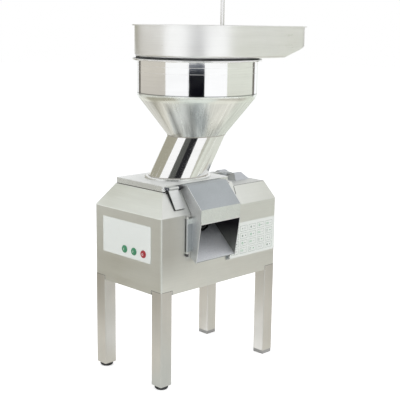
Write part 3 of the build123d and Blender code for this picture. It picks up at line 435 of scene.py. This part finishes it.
MAT = {
    "body_steel": body_steel(),
    "leg_steel": steel("leg_steel", (0.68, 0.67, 0.64), 0.40, (1.0, 1.0, 0.02), bump=0.10, streak=0.04),
    "lid_steel": steel("lid_steel", (0.76, 0.775, 0.765), 0.30, (0.03, 1.0, 1.0), bump=0.12, streak=0.07),
    "bright_steel": steel("bright_steel", (0.95, 0.95, 0.945), 0.08, ACROSS, spread=0.02, streak=0.03,
                          bump=0.03, smudge=0.02),
    "chute_steel": chute_steel(),
    "pin_steel": steel("pin_steel", (0.58, 0.58, 0.57), 0.28, (1, 1, 1), streak=0.06),
    "inner_steel": steel("inner_steel", (0.56, 0.56, 0.55), 0.42, (0.05, 1, 1)),
    "cast_alloy": steel("cast_alloy", (0.62, 0.63, 0.64), 0.42, (0.7, 0.7, 0.7), streak=0.05, bump=0.2),
    "motor_paint": plastic("motor_paint", (0.09, 0.10, 0.115), 0.5, coat=0.2),
    "black_rubber": plastic("black_rubber", (0.020, 0.020, 0.021), 0.72, grain=300, bump=0.25),
    "grey_cap": plastic("grey_cap", (0.43, 0.425, 0.41), 0.6),
    "black_plastic": plastic("black_plastic", (0.016, 0.016, 0.018), 0.42),
    "grey_plastic": plastic("grey_plastic", (0.13, 0.135, 0.14), 0.5),
    "panel_film": plastic("panel_film", (0.83, 0.855, 0.81), 0.34, grain=700, bump=0.05, coat=0.15,
                          wear=0.03),
    "green_button": plastic("green_button", (0.048, 0.285, 0.135), 0.3, coat=0.4, wear=0.04),
    "red_button": plastic("red_button", (0.43, 0.028, 0.040), 0.3, coat=0.4, wear=0.04),
}
LOOK = {
    "hopper": hopper_steel(),
    "tray": steel("tray_steel", (0.95, 0.955, 0.945), 0.33, ACROSS, spread=0.04, streak=0.03, bump=0.05,
                  smudge=0.03),
    "stirring_rod": steel("rod_steel", (0.88, 0.88, 0.88), 0.15, (1, 1, 1), spread=0.02, streak=0.03,
                          bump=0.03, smudge=0.02),
    "tube_collar": steel("collar_steel", (0.80, 0.81, 0.80), 0.20, (1, 1, 1), streak=0.05, bump=0.25),
    "strap_lugs": steel("blued_steel", (0.10, 0.11, 0.15), 0.35, (1, 1, 1), streak=0.08),
    "hinge_bracket_front": steel("block_alloy", (0.53, 0.55, 0.575), 0.44, (0.6, 0.6, 0.6), streak=0.06,
                                 bump=0.22),
}
LOOK["chute_catch_knob"] = MAT["cast_alloy"]
LOOK["hinge_bracket_rear"] = LOOK["hinge_bracket_front"]
WELD = steel("weld_bead", (0.56, 0.54, 0.50), 0.34, (1, 1, 1), streak=0.12, bump=0.3)
# Brighter steel for round edges; on the chute's edges it is also a painted highlight
EDGE = steel("polished_edge_and_painted_highlight", (0.90, 0.91, 0.92), 0.30, (1, 1, 1), streak=0.03, bump=0.05)
INK_GREY = ink("ink_grey", (0.30, 0.36, 0.30))
INK_DARK = ink("ink_dark", (0.07, 0.075, 0.075))
INK_GREEN = ink("ink_green", (0.20, 0.42, 0.25))
INK_WHITE = ink("ink_white", (0.82, 0.83, 0.81))
for node, obj in NODES.items():
    obj.data.materials.clear()
    obj.data.materials.append(LOOK.get(node) or MAT[SLOT_OF[node]])


# Mesh helpers
def add(name, bm, body, slot, material=None):
    """Finish a mesh as a piece that rides on a body."""
    me = bpy.data.meshes.new(name)
    bmesh.ops.recalc_face_normals(bm, faces=bm.faces[:])
    for e in bm.edges:
        e.smooth = len(e.link_faces) < 2 or e.calc_face_angle(0) < SHARP_EDGE
    for f in bm.faces:
        f.smooth = True
    bm.to_mesh(me)
    bm.free()
    ob = bpy.data.objects.new(name, me)
    bpy.context.scene.collection.objects.link(ob)
    me.materials.append(material or MAT[slot])
    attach(ob, body)
    return ob


def frame_of(axis):
    """Two directions across an axis, and the axis."""
    z = Vector(axis).normalized()
    x = Vector((1, 0, 0)) if abs(z.x) < 0.8 else Vector((0, 1, 0))
    y = z.cross(x).normalized()
    return y.cross(z).normalized(), y, z


def bridge(bm, a, b, closed=True):
    """Faces between two rings of equal length."""
    n = len(a)
    for i in range(n if closed else n - 1):
        k = (i + 1) % n
        bm.faces.new((a[i], a[k], b[k], b[i]))


def revolve(bm, centre, axis, profile, steps=40):
    """Profile of (radius, height) pairs in mm, turned about the axis at centre."""
    x, y, z = frame_of(axis)
    last = None
    for r, h in profile:
        base = centre + z * h / 1000
        if r < 1e-6:
            tip = bm.verts.new(base)
            for i in range(steps):
                bm.faces.new((last[i], last[(i + 1) % steps], tip))
            return
        angles = [2 * math.pi * i / steps for i in range(steps)]
        ring = [bm.verts.new(base + (x * math.cos(a) + y * math.sin(a)) * r / 1000) for a in angles]
        if last:
            bridge(bm, last, ring)
        last = ring


def bead(bm, points, radius, steps=10, closed=True, ripple=0.0):
    """Round bead along a path; radius in mm, ripple gives a hand-laid weld its waves."""
    n = len(points)
    rings = []
    for i, p in enumerate(points):
        a = points[(i - 1) % n] if closed or i else p
        b = points[(i + 1) % n] if closed or i < n - 1 else p
        t = (b - a).normalized()
        x = t.cross(Vector((0, 0, 1)))
        if x.length < 1e-4:
            x = t.cross(Vector((0, 1, 0)))
        x.normalize()
        y = t.cross(x).normalized()
        r = radius / 1000 * (1 + ripple * math.sin(i * 1.9))
        angles = [2 * math.pi * k / steps for k in range(steps)]
        rings.append([bm.verts.new(p + (x * math.cos(q) + y * math.sin(q)) * r) for q in angles])
    for a, b in zip(rings, rings[1:]):
        bridge(bm, a, b)
    if closed:
        bridge(bm, rings[-1], rings[0])
    else:
        bm.faces.new(rings[0])
        bm.faces.new(rings[-1])


def slab(bm, corners, normal, thickness, corner=0.0, segments=4):
    """Flat plate of a thickness in mm on row-frame corners, rounded in plan."""
    lift = Vector(normal).normalized() * thickness / 1000
    pts = []
    m = len(corners)
    for i, p in enumerate(corners):
        if corner <= 0:
            pts.append(p)
            continue
        a = (corners[i - 1] - p).normalized() * corner / 1000
        b = (corners[(i + 1) % m] - p).normalized() * corner / 1000
        for k in range(segments + 1):
            s = k / segments
            pts.append(p + a * (1 - s) ** 2 + b * s ** 2)
    low = [bm.verts.new(p) for p in pts]
    high = [bm.verts.new(p + lift) for p in pts]
    bridge(bm, low, high)
    bm.faces.new(low)
    bm.faces.new(high)


def strip(bm, a, b, normal, width, thickness):
    """Straight thin strip from a to b on a face; width and thickness in mm."""
    across = (b - a).cross(Vector(normal)).normalized() * width / 2000
    slab(bm, [a + across, b + across, b - across, a - across], normal, thickness)


def pan_screw(bm, centre, axis, radius, height, turn=0.4):
    """Pan-head screw with a washer and a raised cross."""
    washer = ((1.45, 0), (1.45, 0.16), (1.38, 0.22), (0.98, 0.22))
    head = ((1, 0.18), (1, 0.55), (0.9, 0.82), (0.66, 0.97), (0.4, 1), (0, 1))
    for profile in (washer, head):
        revolve(bm, centre, axis, [(radius * r, height * h) for r, h in profile], 28)
    x, y, z = frame_of(axis)
    top = centre + z * height / 1000
    for q in (turn, turn + math.pi / 2):
        d = (x * math.cos(q) + y * math.sin(q)) * radius * 0.52 / 1000
        strip(bm, top - d, top + d, z, radius * 0.22, 0.12)


def ring_points(cx, cy, z, rx, ry, n):
    angles = [2 * math.pi * i / n for i in range(n)]
    return [W(cx + rx * math.cos(a), cy + ry * math.sin(a), z) for a in angles]


def rounded_loop(x0, x1, y0, y1, z, radius, segments=6):
    """Closed level path round a rectangle with rounded corners."""
    out = []
    corners = ((x1, y1, 0), (x0, y1, 90), (x0, y0, 180), (x1, y0, 270))
    for x, y, start in corners:
        cx = x - radius if x == x1 else x + radius
        cy = y - radius if y == y1 else y + radius
        for k in range(segments + 1):
            a = math.radians(start + 90 * k / segments)
            out.append(W(cx + radius * math.cos(a), cy + radius * math.sin(a), z))
    return out


SLOPE_RUN = math.hypot(SLOPE_INSET, RAISED_TOP - SHOULDER)
SLOPE_Y, SLOPE_Z = SLOPE_INSET / SLOPE_RUN, (RAISED_TOP - SHOULDER) / SLOPE_RUN
SLOPE_NORMAL = (0, -SLOPE_Z, SLOPE_Y)


def on_slope(x, s, lift=0.0):
    """Point on the chute-side slope, s up from the shoulder along it, lift off it."""
    return W(x, SLOPE_Y * s - SLOPE_Z * lift, SHOULDER + SLOPE_Z * s + SLOPE_Y * lift)


# Finer hopper with its soft shoulder
def hopper_point(k, z, turn, inset, extra=0.0):
    """k runs from the oval neck (0) to the round barrel (1)."""
    long = TUBE_R * math.hypot(1, LEAN)
    rx = long + (BARREL_R - long) * k - inset + extra
    ry = TUBE_R + (BARREL_R - TUBE_R) * k - inset + extra
    return W(HOPPER_X + rx * math.cos(turn), CENTRE_Y + ry * math.sin(turn), z)


def hopper_profile():
    """(k, z) pairs up the wall; the corner between cone and barrel is a soft bend."""
    slant = math.hypot(BARREL_R - TUBE_R, SHOULDER_FOLD - NECK)
    cut = SOFT_BEND / slant
    start = (1 - cut, SHOULDER_FOLD - (SHOULDER_FOLD - NECK) * cut)
    end = (1.0, SHOULDER_FOLD + SOFT_BEND)
    rows = [(k, NECK + k * (SHOULDER_FOLD - NECK)) for k in (0.0, 0.25, 0.6)]
    for i in range(11):
        q = i / 10
        a, b, c = (1 - q) ** 2, 2 * q * (1 - q), q ** 2
        rows.append((a * start[0] + b + c * end[0], a * start[1] + b * SHOULDER_FOLD + c * end[1]))
    rows.append((1.0, HOPPER_TOP - FLANGE_HEIGHT))
    return rows


def fine_hopper():
    bm = bmesh.new()
    steps = 128
    wall = hopper_profile()
    rim = HOPPER_FLANGE - BARREL_R
    low = HOPPER_TOP - FLANGE_HEIGHT
    edge = [
        (rim - 1.9, low), (rim - 0.6, low + 0.5), (rim, low + 1.6),
        (rim, low + 2.9), (rim - 0.6, low + 4.0), (rim - 1.9, HOPPER_TOP),
    ]
    rows = [(k, z, 0.0, 0.0) for k, z in wall]
    rows += [(1.0, z, 0.0, extra) for extra, z in edge]
    rows.append((1.0, HOPPER_TOP, HOPPER_WALL, 0.0))
    rows += [(k, z, HOPPER_WALL, 0.0) for k, z in reversed(wall)]
    rings = []
    for k, z, inset, extra in rows:
        turns = [2 * math.pi * i / steps for i in range(steps)]
        rings.append([bm.verts.new(hopper_point(k, z, turn, inset, extra)) for turn in turns])
    for a, b in zip(rings, rings[1:]):
        bridge(bm, a, b)
    bridge(bm, rings[-1], rings[0])
    shell = add("hopper_shell", bm, "lid_head", SLOT_OF["hopper"], LOOK["hopper"])
    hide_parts("hopper")


# Welds, seams and small trim
def welds():
    """Weld beads at the foot of the feed tube and at the neck of the cone."""
    bm = bmesh.new()
    long = TUBE_R * math.hypot(1, LEAN)
    foot = ring_points(CHAMBER_X + LEAN, CENTRE_Y, COLLAR_TOP + 0.6, long + 0.8, TUBE_R + 0.8, 220)
    bead(bm, foot, 1.7, ripple=0.12)
    neck = ring_points(HOPPER_X, CENTRE_Y, NECK + 1.0, long + 1.2, TUBE_R + 1.2, 220)
    bead(bm, neck, 1.3, ripple=0.12)
    add("head_welds", bm, "lid_head", "bright_steel", WELD)


def hopper_rim_bead():
    """Rolled edge of the hopper flange, in front of the lower part of the seat ring."""
    bm = bmesh.new()
    bead(bm, ring_points(HOPPER_X, CENTRE_Y, 1226.2, 252.2, 252.2, 160), 1.7)
    add("hopper_rim_bead", bm, "lid_head", "bright_steel", EDGE)


def lid_gasket():
    """Dark gasket line between the lid and the raised top."""
    bm = bmesh.new()
    inset = 0.6
    edge = rounded_loop(
        LID_X0 + inset, LID_X1 - inset, LID_Y0 + inset, LID_Y1 - inset, RAISED_TOP + 1.6, LID_CORNER
    )
    bead(bm, edge, 1.5)
    add("lid_gasket", bm, "lid_head", "black_rubber")


def notch_seams():
    """Dark joint lines where the cover is cut out round the four leg tops."""
    bm = bmesh.new()
    wide, proud = 1.3, 0.25
    for x_face, x_sign in ((0, 1), (BODY_LENGTH, -1)):
        for y_face, y_sign in ((0, 1), (BODY_DEPTH, -1)):
            out_x, out_y = (-x_sign, 0, 0), (0, -y_sign, 0)
            y_in, x_in = y_face + y_sign * LEG, x_face + x_sign * LEG
            near_y, near_x = y_face + y_sign * 5, x_face + x_sign * 5
            strip(bm, W(x_face, near_y, NOTCH_TOP), W(x_face, y_in, NOTCH_TOP), out_x, wide, proud)
            strip(bm, W(x_face, y_in, NOTCH_TOP), W(x_face, y_in, BODY_BOTTOM), out_x, wide, proud)
            strip(bm, W(near_x, y_face, NOTCH_TOP), W(x_in, y_face, NOTCH_TOP), out_y, wide, proud)
            strip(bm, W(x_in, y_face, NOTCH_TOP), W(x_in, y_face, BODY_BOTTOM), out_y, wide, proud)
    add("leg_notch_seams", bm, "base", "black_rubber", INK_DARK)


def top_seam():
    """Joint line between the low cover and the slope."""
    bm = bmesh.new()
    s = (LOW_TOP - SHOULDER) / SLOPE_Z
    strip(bm, on_slope(STEP_X + 3, s - 0.6), on_slope(BODY_LENGTH - 26, s - 0.6), SLOPE_NORMAL, 1.2, 0.3)
    add("cover_seam", bm, "base", "black_rubber", INK_DARK)


def step_slot_and_painted_shadow():
    """Dark slot at the step, and a painted shadow under the lid's open corner; each point is x and s on the
    slope.
    """
    bm = bmesh.new()
    slab(bm, [on_slope(423.6, 82), on_slope(426.4, 82), on_slope(420.4, 48), on_slope(416.4, 46)],
         SLOPE_NORMAL, 0.3)
    # Painted shadow under the lid's open corner
    slab(bm, [on_slope(398, 101), on_slope(411, 100), on_slope(403, 92)], SLOPE_NORMAL, 0.3)
    add("step_slot_and_painted_shadow", bm, "base", "black_rubber", INK_DARK)


def chute_edges():
    """Folds and sheet edges of the chute as round beads: a real highlight off their rounding, with a painted
    highlight from steel brighter than the sheet.
    """
    bm = bmesh.new()
    for x in (CHUTE_X0 + 0.3, CHUTE_X1 - 0.3):
        line = [
            W(x, CHUTE_CREST_Y, CHUTE_CREST_Z - 0.4), W(x, CHUTE_FRONT + 0.4, CHUTE_FOLD),
            W(x, CHUTE_FRONT + 0.4, CHUTE_LIP), W(x, CHUTE_MOUTH_Y, CHUTE_MOUTH_Z - 5),
        ]
        bead(bm, line, 1.15, closed=False)
    bead(bm, [W(CHUTE_X0, CHUTE_FRONT + 0.5, CHUTE_LIP), W(CHUTE_X1, CHUTE_FRONT + 0.5, CHUTE_LIP)], 1.0,
         closed=False)
    add("chute_edge_beads", bm, "chute", "chute_steel", EDGE)


def chute_floor_z(y):
    return CHUTE_MOUTH_Z + CHUTE_FLOOR_SLOPE * (y - CHUTE_MOUTH_Y)


def chute_lips():
    """Thin lips that lap from the chute's floor and right wall into the throat."""
    bm = bmesh.new()
    y0, y1, top = -6.0, 6.0, 640.0
    inset, lift, thin = CHUTE_SHEET + 1.1, 0.15, 0.3
    x0, x1 = CHUTE_X0 + inset, CHUTE_X1 - inset
    corners = [(x0, y0), (x1, y0), (x1, y1), (x0, y1)]
    slab(bm, [W(x, y, chute_floor_z(y) + lift) for x, y in corners], (0, -CHUTE_FLOOR_SLOPE, 1), thin)
    wall = [(y0, chute_floor_z(y0) + 0.6), (y1, chute_floor_z(y1) + 0.6), (y1, top), (y0, top)]
    slab(bm, [W(x1 + 0.25, y, z) for y, z in wall], (-1, 0, 0), thin)
    add("chute_lips", bm, "chute", "chute_steel")


def strap_painted_shadow():
    """Thin black sheet under the strap whose rim shows round it as a painted shadow."""
    bm = bmesh.new()
    low, high, lift, border = 24.9, 92.0, 3.1, 0.9
    slab(bm, [on_slope(STRAP_X0 - border, low, lift), on_slope(STRAP_X1 - 1, low, lift),
              on_slope(STRAP_X1 - 1, high, lift), on_slope(STRAP_X0 - border, high, lift)], SLOPE_NORMAL, 0.8)
    add("strap_painted_shadow", bm, "strap", "black_rubber")


def back_screws():
    """Screws of the cover on the back."""
    bm = bmesh.new()
    for x in (90, 315, 540):
        for z in (400, 640):
            pan_screw(bm, W(x, BODY_DEPTH, z), (0, 1, 0), 4.0, 3.0, turn=x * 0.3)
    add("back_cover_screws", bm, "base", "pin_steel")


def button_marks():
    """Plain I and O marks on the push buttons."""
    for i in (1, 2, 3):
        low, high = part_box("button_%d" % i)
        c = Vector((low.x, (low.y + high.y) / 2, (low.z + high.z) / 2))
        bm = bmesh.new()
        if i == 1:
            revolve(bm, c, (-1, 0, 0), [(3.4, 0.0), (3.4, 0.25), (4.6, 0.25), (4.6, 0.0)])
        else:
            half = Vector((0, 0, 4.4 / 1000))
            strip(bm, c - half, c + half, (-1, 0, 0), 1.6, 0.25)
        add("button_mark_%d" % i, bm, "push_%d" % i, SLOT_OF["button_%d" % i], INK_WHITE)


def label_point(x, z):
    return W(x, LABEL_FACE, z)


def label_frame(bm, x, z, w, h, line=1.1):
    """Thin rectangle on the instruction plate."""
    out = (0, -1, 0)
    proud = 0.12
    strip(bm, label_point(x, z), label_point(x + w, z), out, line, proud)
    strip(bm, label_point(x, z + h), label_point(x + w, z + h), out, line, proud)
    strip(bm, label_point(x, z), label_point(x, z + h), out, line, proud)
    strip(bm, label_point(x + w, z), label_point(x + w, z + h), out, line, proud)


def label_disc(bm, x, z, radius, hole=0.0):
    if hole:
        revolve(bm, label_point(x, z), (0, -1, 0), [(hole, 0), (hole, 0.14), (radius, 0.14), (radius, 0)], 24)
    else:
        revolve(bm, label_point(x, z), (0, -1, 0), [(radius, 0), (radius, 0.14), (0, 0.14)], 24)


def label_arrow(bm, x, z, size, turn):
    """Solid triangle pointing along turn (radians)."""
    pts = []
    for q in (0, 2.3, -2.3):
        pts.append(label_point(x + size * math.cos(turn + q), z + size * math.sin(turn + q)))
    slab(bm, pts, (0, -1, 0), 0.14)


def label_bar(bm, x, z, w, line):
    strip(bm, label_point(x, z), label_point(x + w, z), (0, -1, 0), line, 0.13)


def label_pictograms():
    """Plain cells with discs, squares, bars and arrows that say nothing."""
    grey, green, dark = bmesh.new(), bmesh.new(), bmesh.new()
    cell_w, cell_h, gap = 40.0, 22.0, 10.0
    x0, z0 = LABEL_X0 + 15, LABEL_Z0 + 12
    for row in range(4):
        for col in range(5):
            x = x0 + col * (cell_w + gap)
            z = z0 + row * (cell_h + gap * 0.8)
            label_frame(grey, x, z, cell_w, cell_h)
            mx, mz = x + cell_w * 0.32, z + cell_h / 2
            kind = (row * 2 + col * 3) % 5
            if kind == 0:
                label_disc(green, mx, mz, 5.0, 2.6)
                label_bar(dark, x + cell_w * 0.58, mz, 8, 1.6)
            elif kind == 1:
                for k in range(3):
                    label_bar(grey, x + 4, mz - 4 + 4 * k, 12, 1.4)
                label_arrow(green, x + cell_w * 0.72, mz, 4.6, 0)
            elif kind == 2:
                label_disc(grey, mx, mz, 4.4)
                label_disc(dark, x + cell_w * 0.74, mz, 2.2)
            elif kind == 3:
                for k in range(2):
                    label_frame(green, x + 5 + 8 * k, mz - 3, 5.5, 6, 1.1)
                label_bar(grey, x + cell_w * 0.66, mz, 7, 1.4)
            else:
                label_arrow(grey, mx, mz, 4.2, math.pi / 2)
                label_bar(grey, x + cell_w * 0.56, mz + 3, 9, 1.3)
                label_bar(dark, x + cell_w * 0.56, mz - 3, 6, 1.3)
    add("label_marks_grey", grey, "base", "panel_film", INK_GREY)
    add("label_marks_green", green, "base", "panel_film", INK_GREEN)
    add("label_marks_dark", dark, "base", "panel_film", INK_DARK)


fine_hopper()
welds()
hopper_rim_bead()
lid_gasket()
notch_seams()
top_seam()
step_slot_and_painted_shadow()
chute_edges()
chute_lips()
strap_painted_shadow()
back_screws()
button_marks()
label_pictograms()


# Floor, light and surroundings
FLOOR_RADIUS, FLOOR_GLOW, WORLD_LIGHT = 26.0, 0.58, 0.55
LAMP_AIM = Vector((0, 0, 0.8))


def into_scene(name, bm, material):
    """Finish a mesh as part of the studio."""
    me = bpy.data.meshes.new(name)
    bm.to_mesh(me)
    bm.free()
    ob = bpy.data.objects.new(name, me)
    bpy.context.scene.collection.objects.link(ob)
    me.materials.append(material)
    return ob


def flat_material():
    """Glow in the tone painted on the flat's corners."""
    m = bpy.data.materials.new("studio_flat")
    m.use_nodes = True
    nt = m.node_tree
    nt.nodes.clear()
    tone = nt.nodes.new("ShaderNodeAttribute")
    tone.attribute_name = "tone"
    glow = nt.nodes.new("ShaderNodeEmission")
    out = nt.nodes.new("ShaderNodeOutputMaterial")
    nt.links.new(tone.outputs["Color"], glow.inputs["Color"])
    nt.links.new(glow.outputs[0], out.inputs[0])
    return m


def bearing(degrees, radius, height):
    """Place round the machine; 0 degrees is the camera's side, positive is to its right."""
    q = math.pi + CAMERA_AZIMUTH - math.radians(degrees)
    return Vector((math.sin(q) * radius, math.cos(q) * radius, height))


def flat(name, start, end, levels, steps=24):
    """Studio flat seen only in reflections; each level is (radius, height, tone), in metres."""
    bm = bmesh.new()
    tone = bm.verts.layers.float_color.new("tone")
    last = None
    for i in range(steps + 1):
        degrees = start + (end - start) * i / steps
        row = []
        for radius, height, colour in levels:
            v = bm.verts.new(bearing(degrees, radius, height))
            v[tone] = (*colour, 1)
            row.append(v)
        if last:
            bridge(bm, last, row, closed=False)
        last = row
    ob = into_scene(name, bm, FLAT)
    ob.visible_camera = False
    ob.visible_diffuse = False
    ob.visible_shadow = False
    ob.visible_transmission = False
    ob.visible_volume_scatter = False


def upright(radius, *levels):
    """Levels of a standing flat from (height, tone) pairs."""
    return [(radius, height, tone) for height, tone in levels]


def on_floor(*levels):
    """Levels of a mat from (radius, tone) pairs."""
    return [(radius, MAT_HEIGHT, tone) for radius, tone in levels]


FLAT = flat_material()
BLACK = (0.002, 0.002, 0.004)
SLATE = (0.085, 0.10, 0.13)
TUBE_SLATE = (0.105, 0.108, 0.10)
TUBE_BLACK = (0.022, 0.022, 0.024)
SMUDGE = (0.40, 0.42, 0.43)
BEIGE = (0.40, 0.375, 0.31)
BEIGE_NEAR = (0.92, 0.89, 0.82)
BEIGE_OUT = (0.72, 0.72, 0.68)
BEIGE_LOW = (0.56, 0.535, 0.49)
BEIGE_HIGH = (0.64, 0.61, 0.545)
EDGE_TONE = (0.20, 0.19, 0.17)
KHAKI = (0.38, 0.365, 0.29)
STONE = (0.52, 0.495, 0.445)
STONE_NEAR = (0.86, 0.83, 0.77)
STONE_LOW = (0.64, 0.65, 0.58)
STONE_HIGH = (0.74, 0.765, 0.69)
STONE_OUT = (0.72, 0.74, 0.67)
NEAR_FEET = (0.82, 0.80, 0.74)
FRONT_NEAR = (0.66, 0.68, 0.67)
FRONT = (0.76, 0.79, 0.76)
FRONT_FAR = (0.60, 0.58, 0.54)
TRAY_LEFT = (0.38, 0.36, 0.315)
TRAY_RIGHT = (0.50, 0.50, 0.435)
WHITE = (1.0, 1.0, 1.0)
NEAR_WALL, FAR_WALL, MAT_HEIGHT = 4.5, 4.6, 0.004

# Standing flats
flat("flat_dark_low", -15, 13.5, upright(
    NEAR_WALL, (0.02, BLACK), (0.90, BLACK), (0.98, SLATE), (1.02, SLATE),
))
flat("flat_smudge", -2, 9, upright(NEAR_WALL, (1.03, SMUDGE), (1.24, SMUDGE)))
flat("flat_tube_slate", -27, 2, upright(FAR_WALL, (2.8, TUBE_SLATE), (6.6, TUBE_SLATE)))
flat("flat_tube_black", 2, 28, upright(FAR_WALL, (2.8, TUBE_BLACK), (6.6, TUBE_BLACK)))
flat("flat_khaki_high", -100, -77, upright(FAR_WALL, (3.8, KHAKI), (5.6, KHAKI)))
flat("flat_khaki_middle", -126, -100, upright(FAR_WALL, (2.4, KHAKI), (4.9, KHAKI)))
flat("flat_khaki_low", -162, -126, upright(FAR_WALL, (1.15, KHAKI), (3.3, KHAKI)))
flat("flat_left", -133, -60, upright(
    FAR_WALL,
    (0.01, BEIGE_OUT), (0.55, BEIGE_LOW), (0.95, BEIGE_HIGH), (1.04, BEIGE_HIGH),
    (1.10, TRAY_LEFT), (1.42, TRAY_LEFT),
))
flat("flat_left_edge", -147, -133, upright(FAR_WALL, (0.01, EDGE_TONE), (1.30, EDGE_TONE)))
flat("flat_right", 57, 128, upright(
    FAR_WALL,
    (0.01, STONE_OUT), (0.35, STONE_LOW), (0.8, STONE_HIGH), (1.04, STONE_HIGH),
    (1.10, TRAY_RIGHT), (1.62, TRAY_RIGHT),
))
flat("flat_right_edge", 128, 139, upright(FAR_WALL, (0.01, EDGE_TONE), (1.36, EDGE_TONE)))
flat("flat_back", 160, 200, upright(FAR_WALL, (0.01, BEIGE_OUT), (0.6, STONE_LOW), (1.22, STONE_HIGH)))
flat("flat_back_dark", 173, 184, upright(NEAR_WALL, (0.02, BLACK), (0.9, SLATE), (1.15, SMUDGE)))

# Mats round the feet of the machine
flat("mat_left", -122, -40, on_floor(
    (0.25, NEAR_FEET), (0.6, NEAR_FEET), (0.9, BEIGE_NEAR), (1.2, BEIGE), (2.9, BEIGE),
    (3.3, BEIGE_OUT), (4.55, BEIGE_OUT),
))
flat("mat_left_edge", -180, -122, on_floor((0.25, NEAR_FEET), (0.9, BEIGE_NEAR), (4.55, BEIGE_OUT)))
flat("mat_front", -40, 40, on_floor((0.2, FRONT_NEAR), (0.5, FRONT), (1.2, FRONT), (3.2, FRONT_FAR)))
flat("mat_right", 40, 88, on_floor(
    (0.25, NEAR_FEET), (0.6, NEAR_FEET), (1.0, STONE_NEAR), (1.5, STONE), (2.7, STONE), (3.1, WHITE),
))
flat("mat_right_far", 88, 116, on_floor(
    (0.25, NEAR_FEET), (1.0, STONE_NEAR), (1.5, STONE), (2.7, STONE), (3.1, STONE_OUT), (4.55, STONE_OUT),
))
flat("mat_right_edge", 116, 180, on_floor((0.25, NEAR_FEET), (1.0, STONE_OUT), (4.55, STONE_OUT)))


def glossy_or_seen(nt):
    """1 for rays from the camera, off gloss or through glass, else 0."""
    rays = nt.nodes.new("ShaderNodeLightPath")
    total = rays.outputs["Is Camera Ray"]
    for name in ("Is Glossy Ray", "Is Transmission Ray"):
        both = nt.nodes.new("ShaderNodeMath")
        both.operation = "ADD"
        both.use_clamp = True
        nt.links.new(total, both.inputs[0])
        nt.links.new(rays.outputs[name], both.inputs[1])
        total = both.outputs[0]
    return total


def floor():
    """Pale floor that shows white and keeps the machine's shadow."""
    bm = bmesh.new()
    sides = 96
    angles = [2 * math.pi * i / sides for i in range(sides)]
    bm.faces.new([bm.verts.new((FLOOR_RADIUS * math.cos(a), FLOOR_RADIUS * math.sin(a), 0)) for a in angles])
    t = Tree("floor")
    t.bsdf.inputs["Base Color"].default_value = (0.86, 0.86, 0.86, 1)
    t.bsdf.inputs["Roughness"].default_value = 0.9
    t.bsdf.inputs["Specular IOR Level"].default_value = 0.0
    glow = t.node("ShaderNodeEmission")
    t.link(t.math("MULTIPLY", glossy_or_seen(t.nt), FLOOR_GLOW), glow.inputs["Strength"])
    total = t.node("ShaderNodeAddShader")
    t.link(t.bsdf.outputs[0], total.inputs[0])
    t.link(glow.outputs[0], total.inputs[1])
    t.link(total.outputs[0], t.out.inputs["Surface"])
    into_scene("floor", bm, t.mat)


def world():
    """Even light, seen as plain white."""
    w = bpy.data.worlds.new("studio")
    bpy.context.scene.world = w
    w.use_nodes = True
    nt = w.node_tree
    nt.nodes.clear()
    plain = nt.nodes.new("ShaderNodeBackground")
    plain.inputs["Color"].default_value = (0.95, 0.97, 1.0, 1)
    plain.inputs["Strength"].default_value = WORLD_LIGHT
    white = nt.nodes.new("ShaderNodeBackground")
    white.inputs["Color"].default_value = (1, 1, 1, 1)
    white.inputs["Strength"].default_value = 1.0
    mix = nt.nodes.new("ShaderNodeMixShader")
    nt.links.new(glossy_or_seen(nt), mix.inputs[0])
    nt.links.new(plain.outputs[0], mix.inputs[1])
    nt.links.new(white.outputs[0], mix.inputs[2])
    out = nt.nodes.new("ShaderNodeOutputWorld")
    nt.links.new(mix.outputs[0], out.inputs[0])


def softbox(name, place, size, power):
    """Area lamp in metres and watts, aimed at the machine's middle and not seen in gloss."""
    data = bpy.data.lights.new(name, "AREA")
    data.shape = "RECTANGLE"
    data.size, data.size_y = size
    data.energy = power
    ob = bpy.data.objects.new(name, data)
    bpy.context.scene.collection.objects.link(ob)
    ob.location = place
    aim = LAMP_AIM - Vector(place)
    ob.rotation_euler = aim.to_track_quat("-Z", "Y").to_euler()
    ob.visible_camera = False
    ob.visible_glossy = False


floor()
world()
softbox("key", (0.3, -3.4, 2.9), (1.8, 1.8), 52)
softbox("fill", (-3.6, 0.2, 2.2), (1.6, 2.0), 34)
softbox("top", (0.2, 0.6, 4.2), (2.4, 2.4), 44)


def smooth_by_angle():
    """Modifier tree: smooth faces, with sharp edges as SHARP_EDGE says."""
    g = bpy.data.node_groups.new("smooth_by_angle", "GeometryNodeTree")
    g.interface.new_socket("Geometry", in_out="INPUT", socket_type="NodeSocketGeometry")
    g.interface.new_socket("Geometry", in_out="OUTPUT", socket_type="NodeSocketGeometry")
    start = g.nodes.new("NodeGroupInput")
    end = g.nodes.new("NodeGroupOutput")
    faces = g.nodes.new("GeometryNodeSetShadeSmooth")
    edges = g.nodes.new("GeometryNodeSetShadeSmooth")
    edges.domain = "EDGE"
    angle = g.nodes.new("GeometryNodeInputMeshEdgeAngle")
    less = g.nodes.new("FunctionNodeCompare")
    less.data_type = "FLOAT"
    less.operation = "LESS_EQUAL"
    less.inputs[1].default_value = SHARP_EDGE
    g.links.new(angle.outputs["Unsigned Angle"], less.inputs[0])
    g.links.new(start.outputs[0], faces.inputs["Geometry"])
    g.links.new(faces.outputs[0], edges.inputs["Geometry"])
    g.links.new(less.outputs[0], edges.inputs["Shade Smooth"])
    g.links.new(edges.outputs[0], end.inputs[0])
    return g


SMOOTH = smooth_by_angle()
for node, obj in NODES.items():
    obj.modifiers.new("smooth_by_angle", "NODES").node_group = SMOOTH

bpy.context.scene.view_settings.view_transform = "Standard"
